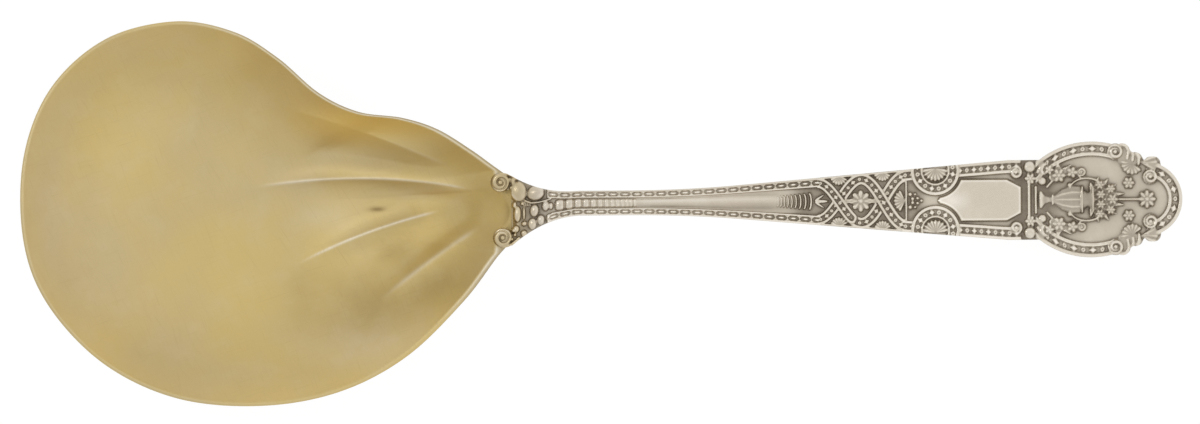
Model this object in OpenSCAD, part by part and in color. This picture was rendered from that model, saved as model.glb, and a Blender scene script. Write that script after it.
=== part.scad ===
// Berry spoon: a broad, fluted kidney bowl joined by a soldered half lap to a die-struck handle.
// The origin is the middle of the flat spot under the bowl, +X runs along the handle, +Z is up.

/* [Bowl] */
// Length of the bowl from its tip to the heel line
bowl_length = 98; // [88:1:108]
// Width of the bowl across both lobes
bowl_width = 77.7; // [68:0.1:88]
// Depth of the hollow below the rim
bowl_depth = 14; // [11:0.5:18]
// Thickness of the struck wall at the bottom
bowl_wall = 1.2; // [0.9:0.1:1.6]
// Width of the sloping edge around the rim
rim_w = 0.6; // [0.4:0.1:1.2]
// How far that edge falls to the outside
rim_fall = 0.25; // [0.1:0.05:0.4]
// Thickness of the wall at the rim
rim_t = 1; // [0.8:0.1:1.4]
// Diameter of the flat spot that the bowl rests on
rest_d = 22; // [16:1:28]

/* [Flutes] */
// Height of the ridges between the flutes
flute_h = 1.4; // [0.6:0.1:2.2]
// Width of a ridge's flank
flute_w = 5; // [3.6:0.1:6]
// Depth of the sunken lobe between the ridges
scoop_h = 0.9; // [0.3:0.1:1.2]

/* [Heel joint] */
// Angle at which the heel and the stem leave the bowl
heel_angle = 9; // [5:0.5:12]
// Length of the bowl's tongue behind the heel line
tongue_l = 8; // [6:0.5:10]
// Thickness of the tongue
tongue_t = 1.4; // [1:0.1:1.8]
// Step from the fan's edge in to the tongue's edge
tongue_inset = 0.7; // [0.4:0.1:1]
// Thickness of the solder film
solder_t = 0.15; // [0.1:0.05:0.3]

/* [Handle] */
// Length of the handle behind the heel line
handle_length = 137; // [124:0.5:150]
// Narrowest width of the stem
stem_w = 5; // [4.4:0.1:6]
// Thickness of the stem over its rails
stem_t = 3.7; // [3.2:0.1:4.4]
// Width at the neck below the head
neck_w = 16.1; // [14.5:0.1:17.5]
// Width of the fan at the heel
fan_w = 16.2; // [14:0.1:18]
// Length of the fan's flare
fan_l = 15; // [12:0.5:18]
// Sideways shift of the fan towards the fuller lobe
fan_shift = 1.6; // [0.5:0.1:2]

/* [Head] */
// Width of the shield-shaped head
head_w = 23.4; // [21.5:0.1:26]
// Thickness of the head over its rails
head_t = 2.8; // [2.5:0.1:3.4]
// Radius of the shield's side arcs
shield_r = 17.2; // [16:0.1:19]
// Length from the middle of the shield to the end of the handle
shield_l = 18.5; // [17.5:0.1:20]
// Diameter of the rounded end lobe
lobe_d = 15; // [13.5:0.1:16.5]
// Length of the head with its neck moulding
head_l = 32.4; // [31:0.1:34]

/* [Border bands] */
// Width of the head's outer rail
rail_w = 0.8; // [0.6:0.05:1]
// Width of the sunken channel that holds the studs
channel_w = 1.2; // [0.9:0.05:1.4]
// Width of the head's inner rail
inner_w = 0.9; // [0.6:0.05:1.1]
// Height of the rails over the channel
rail_h = 0.7; // [0.4:0.05:0.9]
// Size of the stem's bands against the head's
stem_band = 0.58; // [0.5:0.02:0.64]
// Size of the panel's bands against the head's
panel_band = 0.76; // [0.6:0.02:0.85]
// Spacing of the studs on the stem
stem_pitch = 2.42; // [2:0.02:3]
// Spacing of the studs on the panel
panel_pitch = 1.85; // [1.5:0.05:2.4]

/* [Panel] */
// Length of the plain cartouche
cartouche_l = 13.1; // [11:0.1:15]
// Width of the cartouche
cartouche_w = 9; // [7:0.1:9.4]
// Outer radius of the half-round arches
arch_r = 5; // [4.2:0.1:5.4]
// Length of the crossed straps
strap_l = 17.6; // [14:0.1:19]
// Width of one strap
strap_w = 1.7; // [1.2:0.1:2]
// Length of the smooth tongue moulding on the stem
tongue_moulding_l = 30; // [22:0.5:34]
// Length of the ribbed husk between moulding and straps
husk_l = 6.6; // [5:0.1:8]

/* [Hidden] */
gilt = "#c6ac72";
silver = "#c8bfae";
solder_grey = "#b9b4a8";

// Rim outline, counter-clockwise, in hundredths of the bowl's length and width
rim_shape = [
    [57.7, 9.5], [52.7, 14.1], [45.8, 19.5], [38.6, 22.5], [29.5, 24.2], [21.4, 29.2], [13, 38.4],
    [4, 45.2], [-8.1, 48], [-22.4, 43.5], [-33.7, 30.9], [-39.4, 13], [-39.6, -8.4], [-34.7, -25.2],
    [-23.4, -40.6], [-8.4, -49.8], [8.8, -52], [25, -48.6], [39, -39.6], [51, -25.2], [58.5, -13]
];
heel_share = 0.596;
// Ridges as [near angle, far angle, near reach, far reach, relative height, upper flank, lower flank] from
// the fan centre, with the reaches in hundredths of the bowl's length and the flanks against flute_w
ridges = [
    [29.6, 22.4, 15.3, 55, 0.6, 1.4, 1.3],
    [19, 3.6, 9.2, 58, 1, 1.2, 0.84],
    [-2.4, -15.2, 15.3, 51, 0.6, 0.84, 1.1],
    [-27, -34.3, 8.2, 38.8, 0.8, 0.92, 1]
];
// Bend of the ridges, sharpness of their crests, and the lengths over which they rise and run out
ridge_bend = 0.75;
ridge_cusp = 2.1;
ridge_rise = 9;
ridge_runout = 18;
// The sunken lobe lies between the second and the last ridge, with a round end towards the heel
scoop_x = 7.4;
scoop_edge = 3.2;
scoop_soft = 0.9;
scoop_l = 34;
scoop_runout = 20;
rim_steps = 3;
wall_rings = 12;
// Roundness of the bowl's section, and how much fuller it is towards the heel
bowl_curve = 2;
heel_fullness = 0.7;
// Rays shorter than this get a straighter section
full_ray = 38;
edge_chamfer = 0.3;
// Step from the handle's side in to its rails
edge_step = 0.06;
eps = 0.01;

heel_x = heel_share * bowl_length;
end_x = heel_x + handle_length;
rest_r = rest_d / 2;
rim_z0 = bowl_depth + bowl_wall;
heel_slope = tan(heel_angle);
// The rim starts to rise at lift_x and runs straight from land_x on
lift_run = 42;
land_run = 3.4;
lift_x = heel_x - lift_run;
land_x = heel_x - land_run;
// The fan's front edge is hollowed into a bay between its two volutes
fan_step = 1.3;
fan_front = heel_x + fan_step;
fan_hollow = 3.2;
fan_reach = 7.2;
heel_zone = 11.4;
// Width over which the rim's edge turns into the land under the fan
land_blend = 1;
// Point behind the heel line that the flutes gather at
flute_step = 3.2;
flute_shift = 0.3;
flute_centre = [heel_x + flute_step, -flute_shift];

// Places along the handle, counted back from its end
neck_x = end_x - head_l;
cartouche_x = neck_x - cartouche_l;
arch_x = cartouche_x - 0.94 * arch_r;
bar_gap = 0.9;
bar_x = arch_x - arch_r - bar_gap;
strap_x = bar_x - strap_l;
moulding_x1 = strap_x - husk_l;
moulding_x0 = moulding_x1 - tongue_moulding_l;
shield_x = end_x - shield_l;
lobe_r = lobe_d / 2;
lobe_x = end_x - lobe_r;
// Scrolls that end the shield's arcs
scroll_r = 1.6;
scroll_step = 4.9;
scroll_inset = 2;
scroll_x = shield_x + scroll_step;
scroll_y = head_w / 2 - scroll_inset;
// Knobs of the leaf and the husk between scroll and end lobe, as [place along, place across, radius]
knobs = [
    [scroll_x + 1.4, scroll_y, 1.6],
    [lobe_x - 2.1, lobe_r + 0.4, 1.6],
    [lobe_x + 1.1, lobe_r - 0.3, 1.4],
    [lobe_x + 1.7, lobe_r - 0.3, 1.4]
];
knob_x0 = scroll_x - scroll_r;
knob_x1 = max([for (k = knobs) k[0] + k[2]]);
// The stem starts to widen this far behind the heel line and runs straight before the neck
taper_run = 25.5;
taper_blend = 22;
neck_straight = 3;
taper_x0 = heel_x + taper_run;
taper_slope = (neck_w - stem_w) / 2 / (neck_x - neck_straight - taper_x0 - taper_blend / 2);

function clamp01(v) = max(0, min(1, v));
function smooth(v) = let (c = clamp01(v)) c * c * (3 - 2 * c);
function lerp(a, b, t) = a + (b - a) * t;

// Height of the rim, the heel land and the lap plane at x
function rim_z(x) =
    x <= lift_x ? rim_z0 :
    x <= land_x ? rim_z0 + heel_slope * pow(x - lift_x, 2) / (2 * (land_x - lift_x)) :
    rim_z0 + heel_slope * ((land_x - lift_x) / 2 + x - land_x);

// Middle line and half-width of the handle seen from above
shift_curve = 1.2;
flare_curve = 2.2;
function flare(x) = clamp01((heel_x + fan_l - x) / fan_l);
function axis_y(x) = -fan_shift * pow(flare(x), shift_curve);
function taper(x) =
    x <= taper_x0 ? 0 :
    x <= taper_x0 + taper_blend ? taper_slope * pow(x - taper_x0, 2) / (2 * taper_blend) :
    taper_slope * (x - taper_x0 - taper_blend / 2);
function stem_half(x) =
    min(neck_w / 2, stem_w / 2 + taper(x)) + (fan_w - stem_w) / 2 * pow(flare(x), flare_curve);
function arc_half(x, mid, r, y = 0) = abs(x - mid) >= r ? 0 : y + sqrt(r * r - pow(x - mid, 2));
function handle_half(x) =
    x <= neck_x ? stem_half(x) :
    max(
        x <= shield_x ? stem_half(x) : 0,
        arc_half(x, shield_x, shield_r, head_w / 2 - shield_r),
        arc_half(x, lobe_x, lobe_r),
        arc_half(x, scroll_x, scroll_r, scroll_y),
        max([for (k = knobs) arc_half(x, k[0], k[2], k[1])])
    );

// Bowl outline with the tongue, as a closed smooth curve
tongue_x = heel_x + tongue_l;
tongue_mid_x = heel_x + 0.4 * tongue_l;
function tongue_knot(x, side) = [x, axis_y(x) + side * (handle_half(x) - tongue_inset)];
knots = concat(
    [tongue_knot(tongue_x, 1), tongue_knot(tongue_mid_x, 1)],
    [for (p = rim_shape) [p.x * bowl_length / 100, p.y * bowl_width / 100]],
    [tongue_knot(tongue_mid_x, -1), tongue_knot(tongue_x, -1)]
);
function knot(i) = knots[(i + len(knots)) % len(knots)];
function spline(a, b, c, d, t) =
    b + t / 2 * (c - a + t * (2 * a - 5 * b + 4 * c - d + t * (3 * b - a - 3 * c + d)));
rim = [
    for (i = [0:len(knots) - 1]) for (j = [0:rim_steps - 1])
        spline(knot(i - 1), knot(i), knot(i + 1), knot(i + 2), j / rim_steps)
];
rays = len(rim);
tongue_tip = max([for (p = rim) p.x]);

// Share of a ray at which the wall meets the rim, inside and outside
function heel_limit(p, x) =
    let (y = abs(p.y / p.x * x - axis_y(heel_x)))
    (x - fan_hollow * pow(sin(90 * min(1, y / fan_reach)), 2)) / p.x;
function wall_share(p, inset, x) = min(1 - inset / norm(p), p.x > heel_x - heel_zone ? heel_limit(p, x) : 1);
function inner_share(p) = wall_share(p, rim_w, fan_front);
function outer_share(p) = wall_share(p, edge_chamfer, fan_front + bowl_wall);
function land_reach(p) = clamp01(((1 - outer_share(p)) * norm(p) - edge_chamfer) / land_blend);

// Flutes in polar measure about the fan centre
function reach(share) = share * bowl_length / 100;
function ridge_off(rho, phi, r) =
    let (t = clamp01((rho - reach(r[2])) / reach(r[3] - r[2])))
    rho * (phi - lerp(r[0], r[1], pow(t, ridge_bend))) * PI / 180;
function ridge(rho, phi, r) =
    let (
        off = ridge_off(rho, phi, r),
        flank = abs(off) / flute_w / (off > 0 ? r[5] : r[6]),
        ends = smooth((rho - reach(r[2])) / ridge_rise) * smooth((reach(r[3]) - rho) / ridge_runout)
    )
    r[4] * ends * pow(max(0, 1 - flank), ridge_cusp);
function scoop(rho, phi) =
    let (
        front = exp((scoop_x - rho) / scoop_soft),
        upper = exp(ridge_off(rho, phi, ridges[1]) / scoop_soft),
        lower = exp(-ridge_off(rho, phi, ridges[3]) / scoop_soft),
        inward = -ln(front + upper + lower) * scoop_soft
    )
    smooth(inward / scoop_edge) * smooth((scoop_l - rho) / scoop_runout);
function flute(p) =
    let (d = flute_centre - p, rho = norm(d), phi = atan2(-d.y, d.x))
    flute_h * max([for (r = ridges) ridge(rho, phi, r)]) - scoop_h * scoop(rho, phi);

function section(p, t) =
    let (short = pow(min(1, norm(p) / full_ray), 0.4), lean = max(0, p.x / norm(p)))
    pow(t, bowl_curve * short + heel_fullness * pow(lean, 4));
function on_ray(p, r) = p * (r / norm(p));
function inner_point(p, t) =
    let (
        edge = inner_share(p) * p,
        q = on_ray(p, lerp(rest_r, norm(edge), t))
    )
    [q.x, q.y, lerp(bowl_wall, rim_z(edge.x), section(p, t)) + flute(q) * (1 - pow(t, 6))];
function outer_point(p, t) =
    let (
        edge = outer_share(p) * p,
        q = on_ray(p, lerp(rest_r, norm(edge), t)),
        top = rim_z(edge.x) - lerp(rim_t, tongue_t, land_reach(p))
    )
    [q.x, q.y, top * section(p, t) + flute(q) * (1 - pow(t, 6)) * smooth(4 * t)];
function rim_point(p, drop) = [p.x, p.y, rim_z(p.x) - drop];

// Faces between two neighbouring rings of points
function band(a, b) = [
    for (i = [0:rays - 1]) let (k = (i + 1) % rays)
        each [[a * rays + i, b * rays + k, a * rays + k], [a * rays + i, b * rays + i, b * rays + k]]
];

module bowl() {
    inner = [for (j = [0:wall_rings]) for (p = rim) inner_point(p, j / wall_rings)];
    lip = concat(
        [for (p = rim) rim_point(p, rim_fall * (1 - land_reach(p)))],
        [for (p = rim) rim_point(p, lerp(rim_t - edge_chamfer, tongue_t, land_reach(p)))]
    );
    outer = [for (j = [wall_rings:-1:0]) for (p = rim) outer_point(p, j / wall_rings)];
    rings = 2 * wall_rings + 4;
    inner_middle = rings * rays;
    outer_middle = inner_middle + 1;
    color(gilt)
        polyhedron(
            points = concat(inner, lip, outer, [[0, 0, bowl_wall], [0, 0, 0]]),
            faces = concat(
                [for (i = [0:rays - 1]) [inner_middle, i, (i + 1) % rays]],
                [for (j = [0:rings - 2]) each band(j, j + 1)],
                [for (i = [0:rays - 1]) [outer_middle, (rings - 1) * rays + (i + 1) % rays, (rings - 1) * rays + i]]
            )
        );
}

// Side profile of the handle
foot_x = tongue_tip + solder_t;
foot_z = rim_z(foot_x) - tongue_t;
end_slope = 0.16;
handle_run = end_x - foot_x;
function back_z(x) =
    x <= foot_x ? rim_z(x) - tongue_t :
    let (t = (x - foot_x) / handle_run)
    foot_z * (1 - t * t * (3 - 2 * t))
    + handle_run * (heel_slope * t * pow(1 - t, 2) + end_slope * t * t * (1 - t));
function thickness(x) = lerp(stem_t, head_t, smooth((x - foot_x) / handle_run));
function field_z(x) = back_z(x) + thickness(x) - rail_h;
function tilt(x) = atan((field_z(x + 0.1) - field_z(x - 0.1)) / 0.2);

// Stations along the handle, closer where its outline turns
stations = concat(
    [for (x = [fan_front:1.1:heel_x + fan_l]) x],
    [for (i = [1:15]) lerp(heel_x + fan_l, neck_x, i / 15)],
    [for (i = [1:10]) lerp(neck_x, knob_x0, i / 10)],
    [for (i = [1:14]) lerp(knob_x0, knob_x1, i / 14)],
    [for (i = [1:7]) lerp(knob_x1, end_x - edge_step, 1 - pow(1 - i / 7, 1.5))]
);
// Half of the rounded back as [share of half-width, rise]
back_edge = 1.1;
back_shares = [-1, -0.9, -0.7, -0.35, 0, 0.35, 0.7, 0.9, 1];
sides = len(back_shares) + 2;

module blank() {
    points = [
        for (x = stations) let (w = handle_half(x), y = axis_y(x)) each concat(
            [for (s = back_shares) [x, y + s * w, back_z(x) + back_edge * pow(abs(s), 4)]],
            [[x, y + w, field_z(x)], [x, y - w, field_z(x)]]
        )
    ];
    last = (len(stations) - 1) * sides;
    polyhedron(points = points, faces = concat(
        [[for (k = [0:sides - 1]) k]],
        [[for (k = [sides - 1:-1:0]) last + k]],
        [
            for (i = [0:len(stations) - 2]) for (k = [0:sides - 1])
                let (a = i * sides + k, b = i * sides + (k + 1) % sides)
                each [[a, a + sides, b], [b, a + sides, b + sides]]
        ]
    ));
}

// Places between the stations, so that the relief and the blank share no cut
function between(t) = [for (i = [0:len(stations) - 2]) lerp(stations[i], stations[i + 1], t)];

module handle_plan() {
    xs = between(0.25);
    polygon(concat(
        [for (x = xs) [x, axis_y(x) + handle_half(x)]],
        [for (i = [len(xs) - 1:-1:0]) [xs[i], axis_y(xs[i]) - handle_half(xs[i])]]
    ));
}

module tongue_plan() {
    intersection() {
        polygon(rim);
        translate([heel_x, -fan_w]) square([2 * tongue_l, 2 * fan_w]);
    }
}

// A layer of the handle between two heights over its sunken field
module layer(low, high) {
    xs = concat([heel_x - 6, heel_x - 2], between(0.6), [end_x + 1]);
    rotate([90, 0, 0])
        linear_extrude(height = 2 * head_w, center = true)
            polygon(concat(
                [for (x = xs) [x, field_z(x) + low]],
                [for (i = [len(xs) - 1:-1:0]) [xs[i], field_z(xs[i]) + high]]
            ));
}

// A flat shape seen from above, drawn up past the whole spoon
cut_over = 20;
module drawn_up() {
    linear_extrude(height = rim_z0 + cut_over) children();
}

// Depth to which struck ornament is rooted in the field
root = 0.2;
// A flat shape, struck to a height over the field
module relief(high) {
    intersection() {
        drawn_up() children();
        layer(-root, high);
    }
}

module stretch(x0, x1) {
    translate([x0, -head_w]) square([x1 - x0, 2 * head_w]);
}

module ring_band(outer, inner) {
    difference() {
        offset(delta = -outer) handle_plan();
        offset(delta = -inner) handle_plan();
    }
}

module border(size, x0, x1) {
    intersection() {
        stretch(x0, x1);
        union() {
            ring_band(edge_step, rail_w * size);
            ring_band((rail_w + channel_w) * size, (rail_w + channel_w + inner_w) * size);
        }
    }
}

function channel_y(x, size) = handle_half(x) - (rail_w + channel_w / 2) * size;

// A stud cut like a small diamond, lying along the handle
module stud(x, y, long, wide) {
    translate([x, y, field_z(x) - 0.1])
        rotate([0, -tilt(x), 0])
            scale([long, wide, 1])
                cylinder(h = rail_h, r1 = 0.5, r2 = 0.22, $fn = 4);
}

module studs(x0, x1, pitch, size) {
    count = floor((x1 - x0) / pitch);
    for (i = [0:count - 1]) for (side = [-1, 1]) {
        x = x0 + (i + 0.5) * pitch;
        stud(x, axis_y(x) + side * channel_y(x, size), 0.6 * pitch, 0.95 * channel_w * size);
    }
}

module boss(x, y, r, high) {
    translate([x, y, field_z(x) - root])
        rotate([0, -tilt(x), 0])
            cylinder(h = high + root, r1 = r, r2 = 0.8 * r, $fn = 12);
}

// A scroll end: a round boss with its eye standing up from a ring
eye_rise = 0.3;
module volute(x, y, r) {
    boss(x, y, r, rail_h);
    boss(x, y, 0.45 * r, rail_h + eye_rise);
}

module dome(x, y, long, wide, high) {
    translate([x, y, field_z(x) - 0.1])
        rotate([0, -tilt(x), 0])
            scale([long, wide, high])
                difference() {
                    sphere(r = 1, $fn = 8);
                    translate([-2, -2, -2.2]) cube([4, 4, 2]);
                }
}

// Volutes beside the fan's bay, as [step from the heel line, place across]
volute_r = 1.95;
volutes = [[-0.9, 5.9], [-0.5, -5.25]];
// Petals and balls of the fan, as [step from its front edge, place across, half-length, half-width]
fan_bosses = [
    [1.4, 3.7, 1.5, 1.9], [4.9, 2.9, 1.6, 1.4], [1.3, -0.8, 0.8, 1.4], [1, -3.8, 0.8, 0.8],
    [4.6, -0.5, 0.9, 1.2], [6.9, 0.2, 0.8, 0.9], [4.2, -3.1, 0.9, 1.1], [5.9, -2.5, 0.8, 0.9]
];
// The row of beads that runs out from the fan, with shrinking steps
beads = 6;
bead_start = 9.7;
bead_pitch = 1.95;
bead_shrink = 0.07;
function bead_x(i) = fan_front + bead_start + i * (bead_pitch - bead_shrink * i);

module fan_ornament() {
    for (v = volutes) {
        x = heel_x + v.x;
        y = axis_y(heel_x) + v.y;
        volute(x, y, volute_r);
        hull() {
            boss(fan_front + 1.4, y, 0.8 * volute_r, rail_h);
            boss(x + 0.8, y, 0.7 * volute_r, rail_h);
        }
    }
    for (b = fan_bosses) {
        x = fan_front + b[0];
        dome(x, axis_y(x) + b[1], b[2], b[3], rail_h + 0.2 * b[2]);
    }
    for (i = [0:beads - 1]) {
        size = lerp(0.9, 0.5, i / (beads - 1));
        dome(bead_x(i), axis_y(bead_x(i)), size, size, lerp(0.9, 0.6, i / (beads - 1)));
    }
}

// Smooth tongue moulding that widens along the stem, with a ribbed husk behind it
module stem_ornament() {
    steps = 6;
    for (i = [0:steps - 1]) hull() for (k = [i, i + 1]) {
        x = lerp(moulding_x0, moulding_x1, k / steps);
        dome(x, 0, 0.6, lerp(0.35, 1.25, k / steps), lerp(0.5, 0.9, k / steps));
    }
    ribs = 4;
    for (i = [0:ribs - 1]) {
        x = moulding_x1 + (i + 0.5) * husk_l / ribs;
        dome(x, 0, 0.4 * husk_l / ribs, lerp(2, 1.2, i / (ribs - 1)), 0.7);
    }
}

// Two straps that cross twice round a rosette
function strap_y(x) =
    let (t = (x - strap_x) / strap_l)
    (stem_half(x) - (rail_w + channel_w) * panel_band - strap_w / 2) * cos(360 * t);
module strap_plan() {
    steps = 24;
    xs = [for (i = [0:steps]) strap_x + strap_l * i / steps];
    for (side = [-1, 1]) polygon(concat(
        [for (x = xs) [x, side * strap_y(x) + strap_w / 2]],
        [for (i = [steps:-1:0]) [xs[i], side * strap_y(xs[i]) - strap_w / 2]]
    ));
}

// Half-round arches that open to the edges
module arch_plan() {
    for (side = [-1, 1]) intersection() {
        offset(delta = -edge_step) handle_plan();
        translate([arch_x, side * (stem_half(arch_x) - 0.5)]) difference() {
            circle(r = arch_r, $fn = 28);
            circle(r = arch_r - inner_w * panel_band, $fn = 28);
        }
    }
}

// Straight bars across the panel and the neck, the neck's as [step from the neck, thickness, length]
neck_bars = [[0.8, 0.8, 6.8], [2.2, 0.8, 4.8]];
module bar_plan(x, long, wide) {
    translate([x, -wide / 2]) square([long, wide]);
}

module rail_plan() {
    border(stem_band, fan_front, strap_x);
    border(panel_band, strap_x - eps, neck_x - 0.3);
    border(1, neck_x + 2, end_x);
    strap_plan();
    arch_plan();
    bar_plan(bar_x - 0.3, 0.6, 2 * stem_half(bar_x) - 4);
    for (b = neck_bars) bar_plan(neck_x + b[0], b[1], b[2]);
}

module panel_ornament() {
    boss(strap_x + strap_l / 2, 0, 1.3, rail_h);
    for (side = [-1, 1]) {
        dome(arch_x, side * (stem_half(arch_x) - 1.1), 2.6, 1.05, rail_h + 0.4);
        volute(neck_x - 1.4, side * (stem_half(neck_x) - 2.2), 1.2);
    }
    relief(rail_h - 0.1) cartouche_plan();
}

// Plain cartouche with canted corners and a tail that runs out between the arches
module cartouche_plan() {
    cant = 2.2;
    tail = 1.2;
    x0 = cartouche_x;
    x1 = neck_x - 0.6;
    half = cartouche_w / 2;
    polygon([
        [x0 - 7, tail / 2], [x0 - 3, tail], [x0, half - cant], [x0 + cant, half], [x1 - cant, half],
        [x1, half - cant], [x1, cant - half], [x1 - cant, -half], [x0 + cant, -half], [x0, cant - half],
        [x0 - 3, -tail], [x0 - 7, -tail / 2]
    ]);
}

// A vase lying along the head between scrolls, as rings of [step, half-length, half-width, height]
vase_x = shield_x - 6;
vase = [[0, 1.4, 1.2, 0.7], [1, 1.2, 0.8, 0.9], [3, 1.2, 1, 0.9], [7, 1.6, 2.9, 1.2], [9, 0.8, 2.4, 1]];
vase_parts = [[0, 1], [2, 3], [3, 4]];
// Bosses behind the neck, as [step from the neck, place across, radius]
neck_bosses = [[1.6, 5.3, 1.3], [4, 6.8, 1.2]];
leaf_x = lobe_x - 1.6;
leaf_l = 4;
// How far the knobs stay below the rails
knob_step = 0.1;
module head_ornament() {
    for (side = [-1, 1]) {
        volute(scroll_x, side * scroll_y, scroll_r - edge_step);
        volute(lobe_x + 1.1, side * (lobe_r - 2.3), 1.4);
        for (k = knobs) boss(k[0], side * k[1], k[2] - edge_step, rail_h - knob_step);
        for (b = neck_bosses) boss(neck_x + b[0], side * b[1], b[2], rail_h);
    }
    for (part = vase_parts) hull() for (i = part) {
        dome(vase_x + vase[i][0], 0, vase[i][1], vase[i][2], vase[i][3]);
    }
    for (a = [-60:30:60]) hull() {
        dome(leaf_x, 0, 0.6, 0.6, 0.7);
        dome(leaf_x + leaf_l * cos(a), leaf_l * sin(a), 0.7, 0.7, 0.6);
    }
}

// The tongue's rounded tip, which the lap follows
tip_round = 1.5;
module lap_cut() {
    low = -stem_t;
    intersection() {
        drawn_up() {
            stretch(heel_x - 8, tongue_tip - tip_round);
            offset(r = solder_t) tongue_plan();
        }
        rotate([90, 0, 0])
            linear_extrude(height = 2 * head_w, center = true)
                polygon([
                    for (c = [[-9, low], [tongue_l + 2, low], [tongue_l + 2, solder_t], [-9, solder_t]])
                        let (x = heel_x + c.x)
                        [x, rim_z(max(x, land_x)) + heel_slope * min(0, x - land_x) + c.y]
                ]);
    }
}

module handle() {
    color(silver) difference() {
        union() {
            blank();
            relief(rail_h) rail_plan();
            studs(heel_x + fan_l - 5, strap_x, stem_pitch, stem_band);
            studs(strap_x, arch_x - arch_r, panel_pitch, panel_band);
            studs(cartouche_x, neck_x - 2, panel_pitch, panel_band);
            studs(neck_x + 6.4, shield_x + 3, panel_pitch, 1);
            fan_ornament();
            stem_ornament();
            panel_ornament();
            head_ornament();
        }
        lap_cut();
    }
}

// Film of solder on top of the tongue and round its end
module solder_seam() {
    color(solder_grey) difference() {
        intersection() {
            drawn_up() offset(delta = solder_t - eps) tongue_plan();
            lap_slab(-tongue_t, solder_t - eps, fan_front + 0.2);
        }
        intersection() {
            drawn_up() offset(delta = eps) tongue_plan();
            lap_slab(-2 * tongue_t, eps, heel_x - 2);
        }
        drawn_up() offset(delta = eps) difference() {
            offset(delta = 1) tongue_plan();
            tongue_plan();
            stretch(tongue_tip - tip_round, tongue_tip + 2);
        }
    }
}

module lap_slab(low, high, x0) {
    x1 = tongue_tip + 1;
    rotate([90, 0, 0])
        linear_extrude(height = 2 * fan_w, center = true)
            polygon([[x0, rim_z(x0) + low], [x1, rim_z(x1) + low], [x1, rim_z(x1) + high], [x0, rim_z(x0) + high]]);
}

bowl();
handle();
solder_seam();
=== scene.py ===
"""Berry spoon: a fluted, gilt bowl on a die-struck silver handle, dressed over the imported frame."""
import logging
import math
from dataclasses import dataclass
from enum import Enum
from typing import Any, Iterable, Sequence

import bmesh
import bpy
import numpy as np
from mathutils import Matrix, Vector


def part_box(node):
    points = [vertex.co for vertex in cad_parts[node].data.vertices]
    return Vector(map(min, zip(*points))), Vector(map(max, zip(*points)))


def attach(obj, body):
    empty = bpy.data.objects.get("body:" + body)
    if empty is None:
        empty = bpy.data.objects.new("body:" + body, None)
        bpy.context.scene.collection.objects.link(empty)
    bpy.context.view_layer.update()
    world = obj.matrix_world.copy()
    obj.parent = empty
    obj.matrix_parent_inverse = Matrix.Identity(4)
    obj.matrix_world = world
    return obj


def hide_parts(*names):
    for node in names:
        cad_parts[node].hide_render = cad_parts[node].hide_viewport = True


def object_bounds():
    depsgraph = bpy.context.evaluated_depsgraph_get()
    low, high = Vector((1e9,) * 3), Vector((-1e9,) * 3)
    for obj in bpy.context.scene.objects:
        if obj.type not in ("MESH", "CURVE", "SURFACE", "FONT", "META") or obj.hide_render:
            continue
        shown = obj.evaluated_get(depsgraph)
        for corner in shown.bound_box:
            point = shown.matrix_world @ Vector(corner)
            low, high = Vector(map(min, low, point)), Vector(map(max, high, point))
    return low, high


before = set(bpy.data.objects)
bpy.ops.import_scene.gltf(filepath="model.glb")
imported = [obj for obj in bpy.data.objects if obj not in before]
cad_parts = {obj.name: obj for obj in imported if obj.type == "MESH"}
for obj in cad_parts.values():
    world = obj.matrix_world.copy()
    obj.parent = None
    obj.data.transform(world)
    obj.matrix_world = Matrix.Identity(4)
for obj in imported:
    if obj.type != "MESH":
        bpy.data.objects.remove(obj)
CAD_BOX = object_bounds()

LOG = logging.getLogger("berry_spoon")
MM = 0.001
SIDES = (1, -1)
HANDLE_LENGTH = 137.0
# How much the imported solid's straight facet cuts off the handle's round end
END_FLAT = 0.06
Array = np.ndarray
Colour = tuple[float, float, float]
Socket = bpy.types.NodeSocket
Place = tuple[float, float]
Rows = tuple[tuple[float, ...], ...]
Window = tuple[slice, slice]
Plate = tuple[Array, list[list[int]], Array]
VERTEX_VALUES = ("tone_and_light", "other_metal")
WHITE = (1.0, 1.0, 1.0, 1.0)


def clamp01(v: Array) -> Array:
    """Limits a value to the range from 0 to 1."""
    return np.clip(v, 0.0, 1.0)


def smooth(v: Array) -> Array:
    """Soft step from 0 to 1."""
    c = clamp01(v)
    return c * c * (3.0 - 2.0 * c)


def step_up(v: Array, start: float, run: float) -> Array:
    """Soft step from 0 at the start to 1 at the end of a run."""
    return smooth((v - start) / run)


def step_down(v: Array, stop: float, run: float) -> Array:
    """Soft step from 1 at the start of a run to 0 at its stop."""
    return smooth((stop - v) / run)


def lerp(a: Array, b: Array, t: Array) -> Array:
    """Straight blend from a to b."""
    return a + (b - a) * t


def hump(u: Array, power: float = 4.0) -> Array:
    """Section of a rounded rail: 1 in its middle and 0 from u = -1 and u = 1 on."""
    return np.sqrt(clamp01(1.0 - np.abs(u) ** power))


def taps(reach: float) -> Array:
    """Weights of a soft mean, for a standard deviation in steps."""
    span = math.ceil(3.0 * reach)
    weights = np.exp(-0.5 * (np.arange(-span, span + 1) / reach) ** 2)
    return weights / weights.sum()


def blur(height: Array, reach: float) -> Array:
    """Softens a height map along both its axes.

    Args:
        height: The map.
        reach: Standard deviation in cells.

    Returns:
        The softened map.
    """
    weights = taps(reach)
    span = len(weights) // 2
    for _ in range(2):
        wide = np.pad(height, ((span, span), (0, 0)), mode="edge")
        height = sum(share * wide[k:k + len(height)] for k, share in enumerate(weights)).T
    return height


def ease(values: Array, reach: float) -> Array:
    """Softens values around a closed ring, over a reach in steps."""
    weights = taps(reach)
    return np.convolve(np.pad(values, len(weights) // 2, mode="wrap"), weights, mode="valid")


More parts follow.
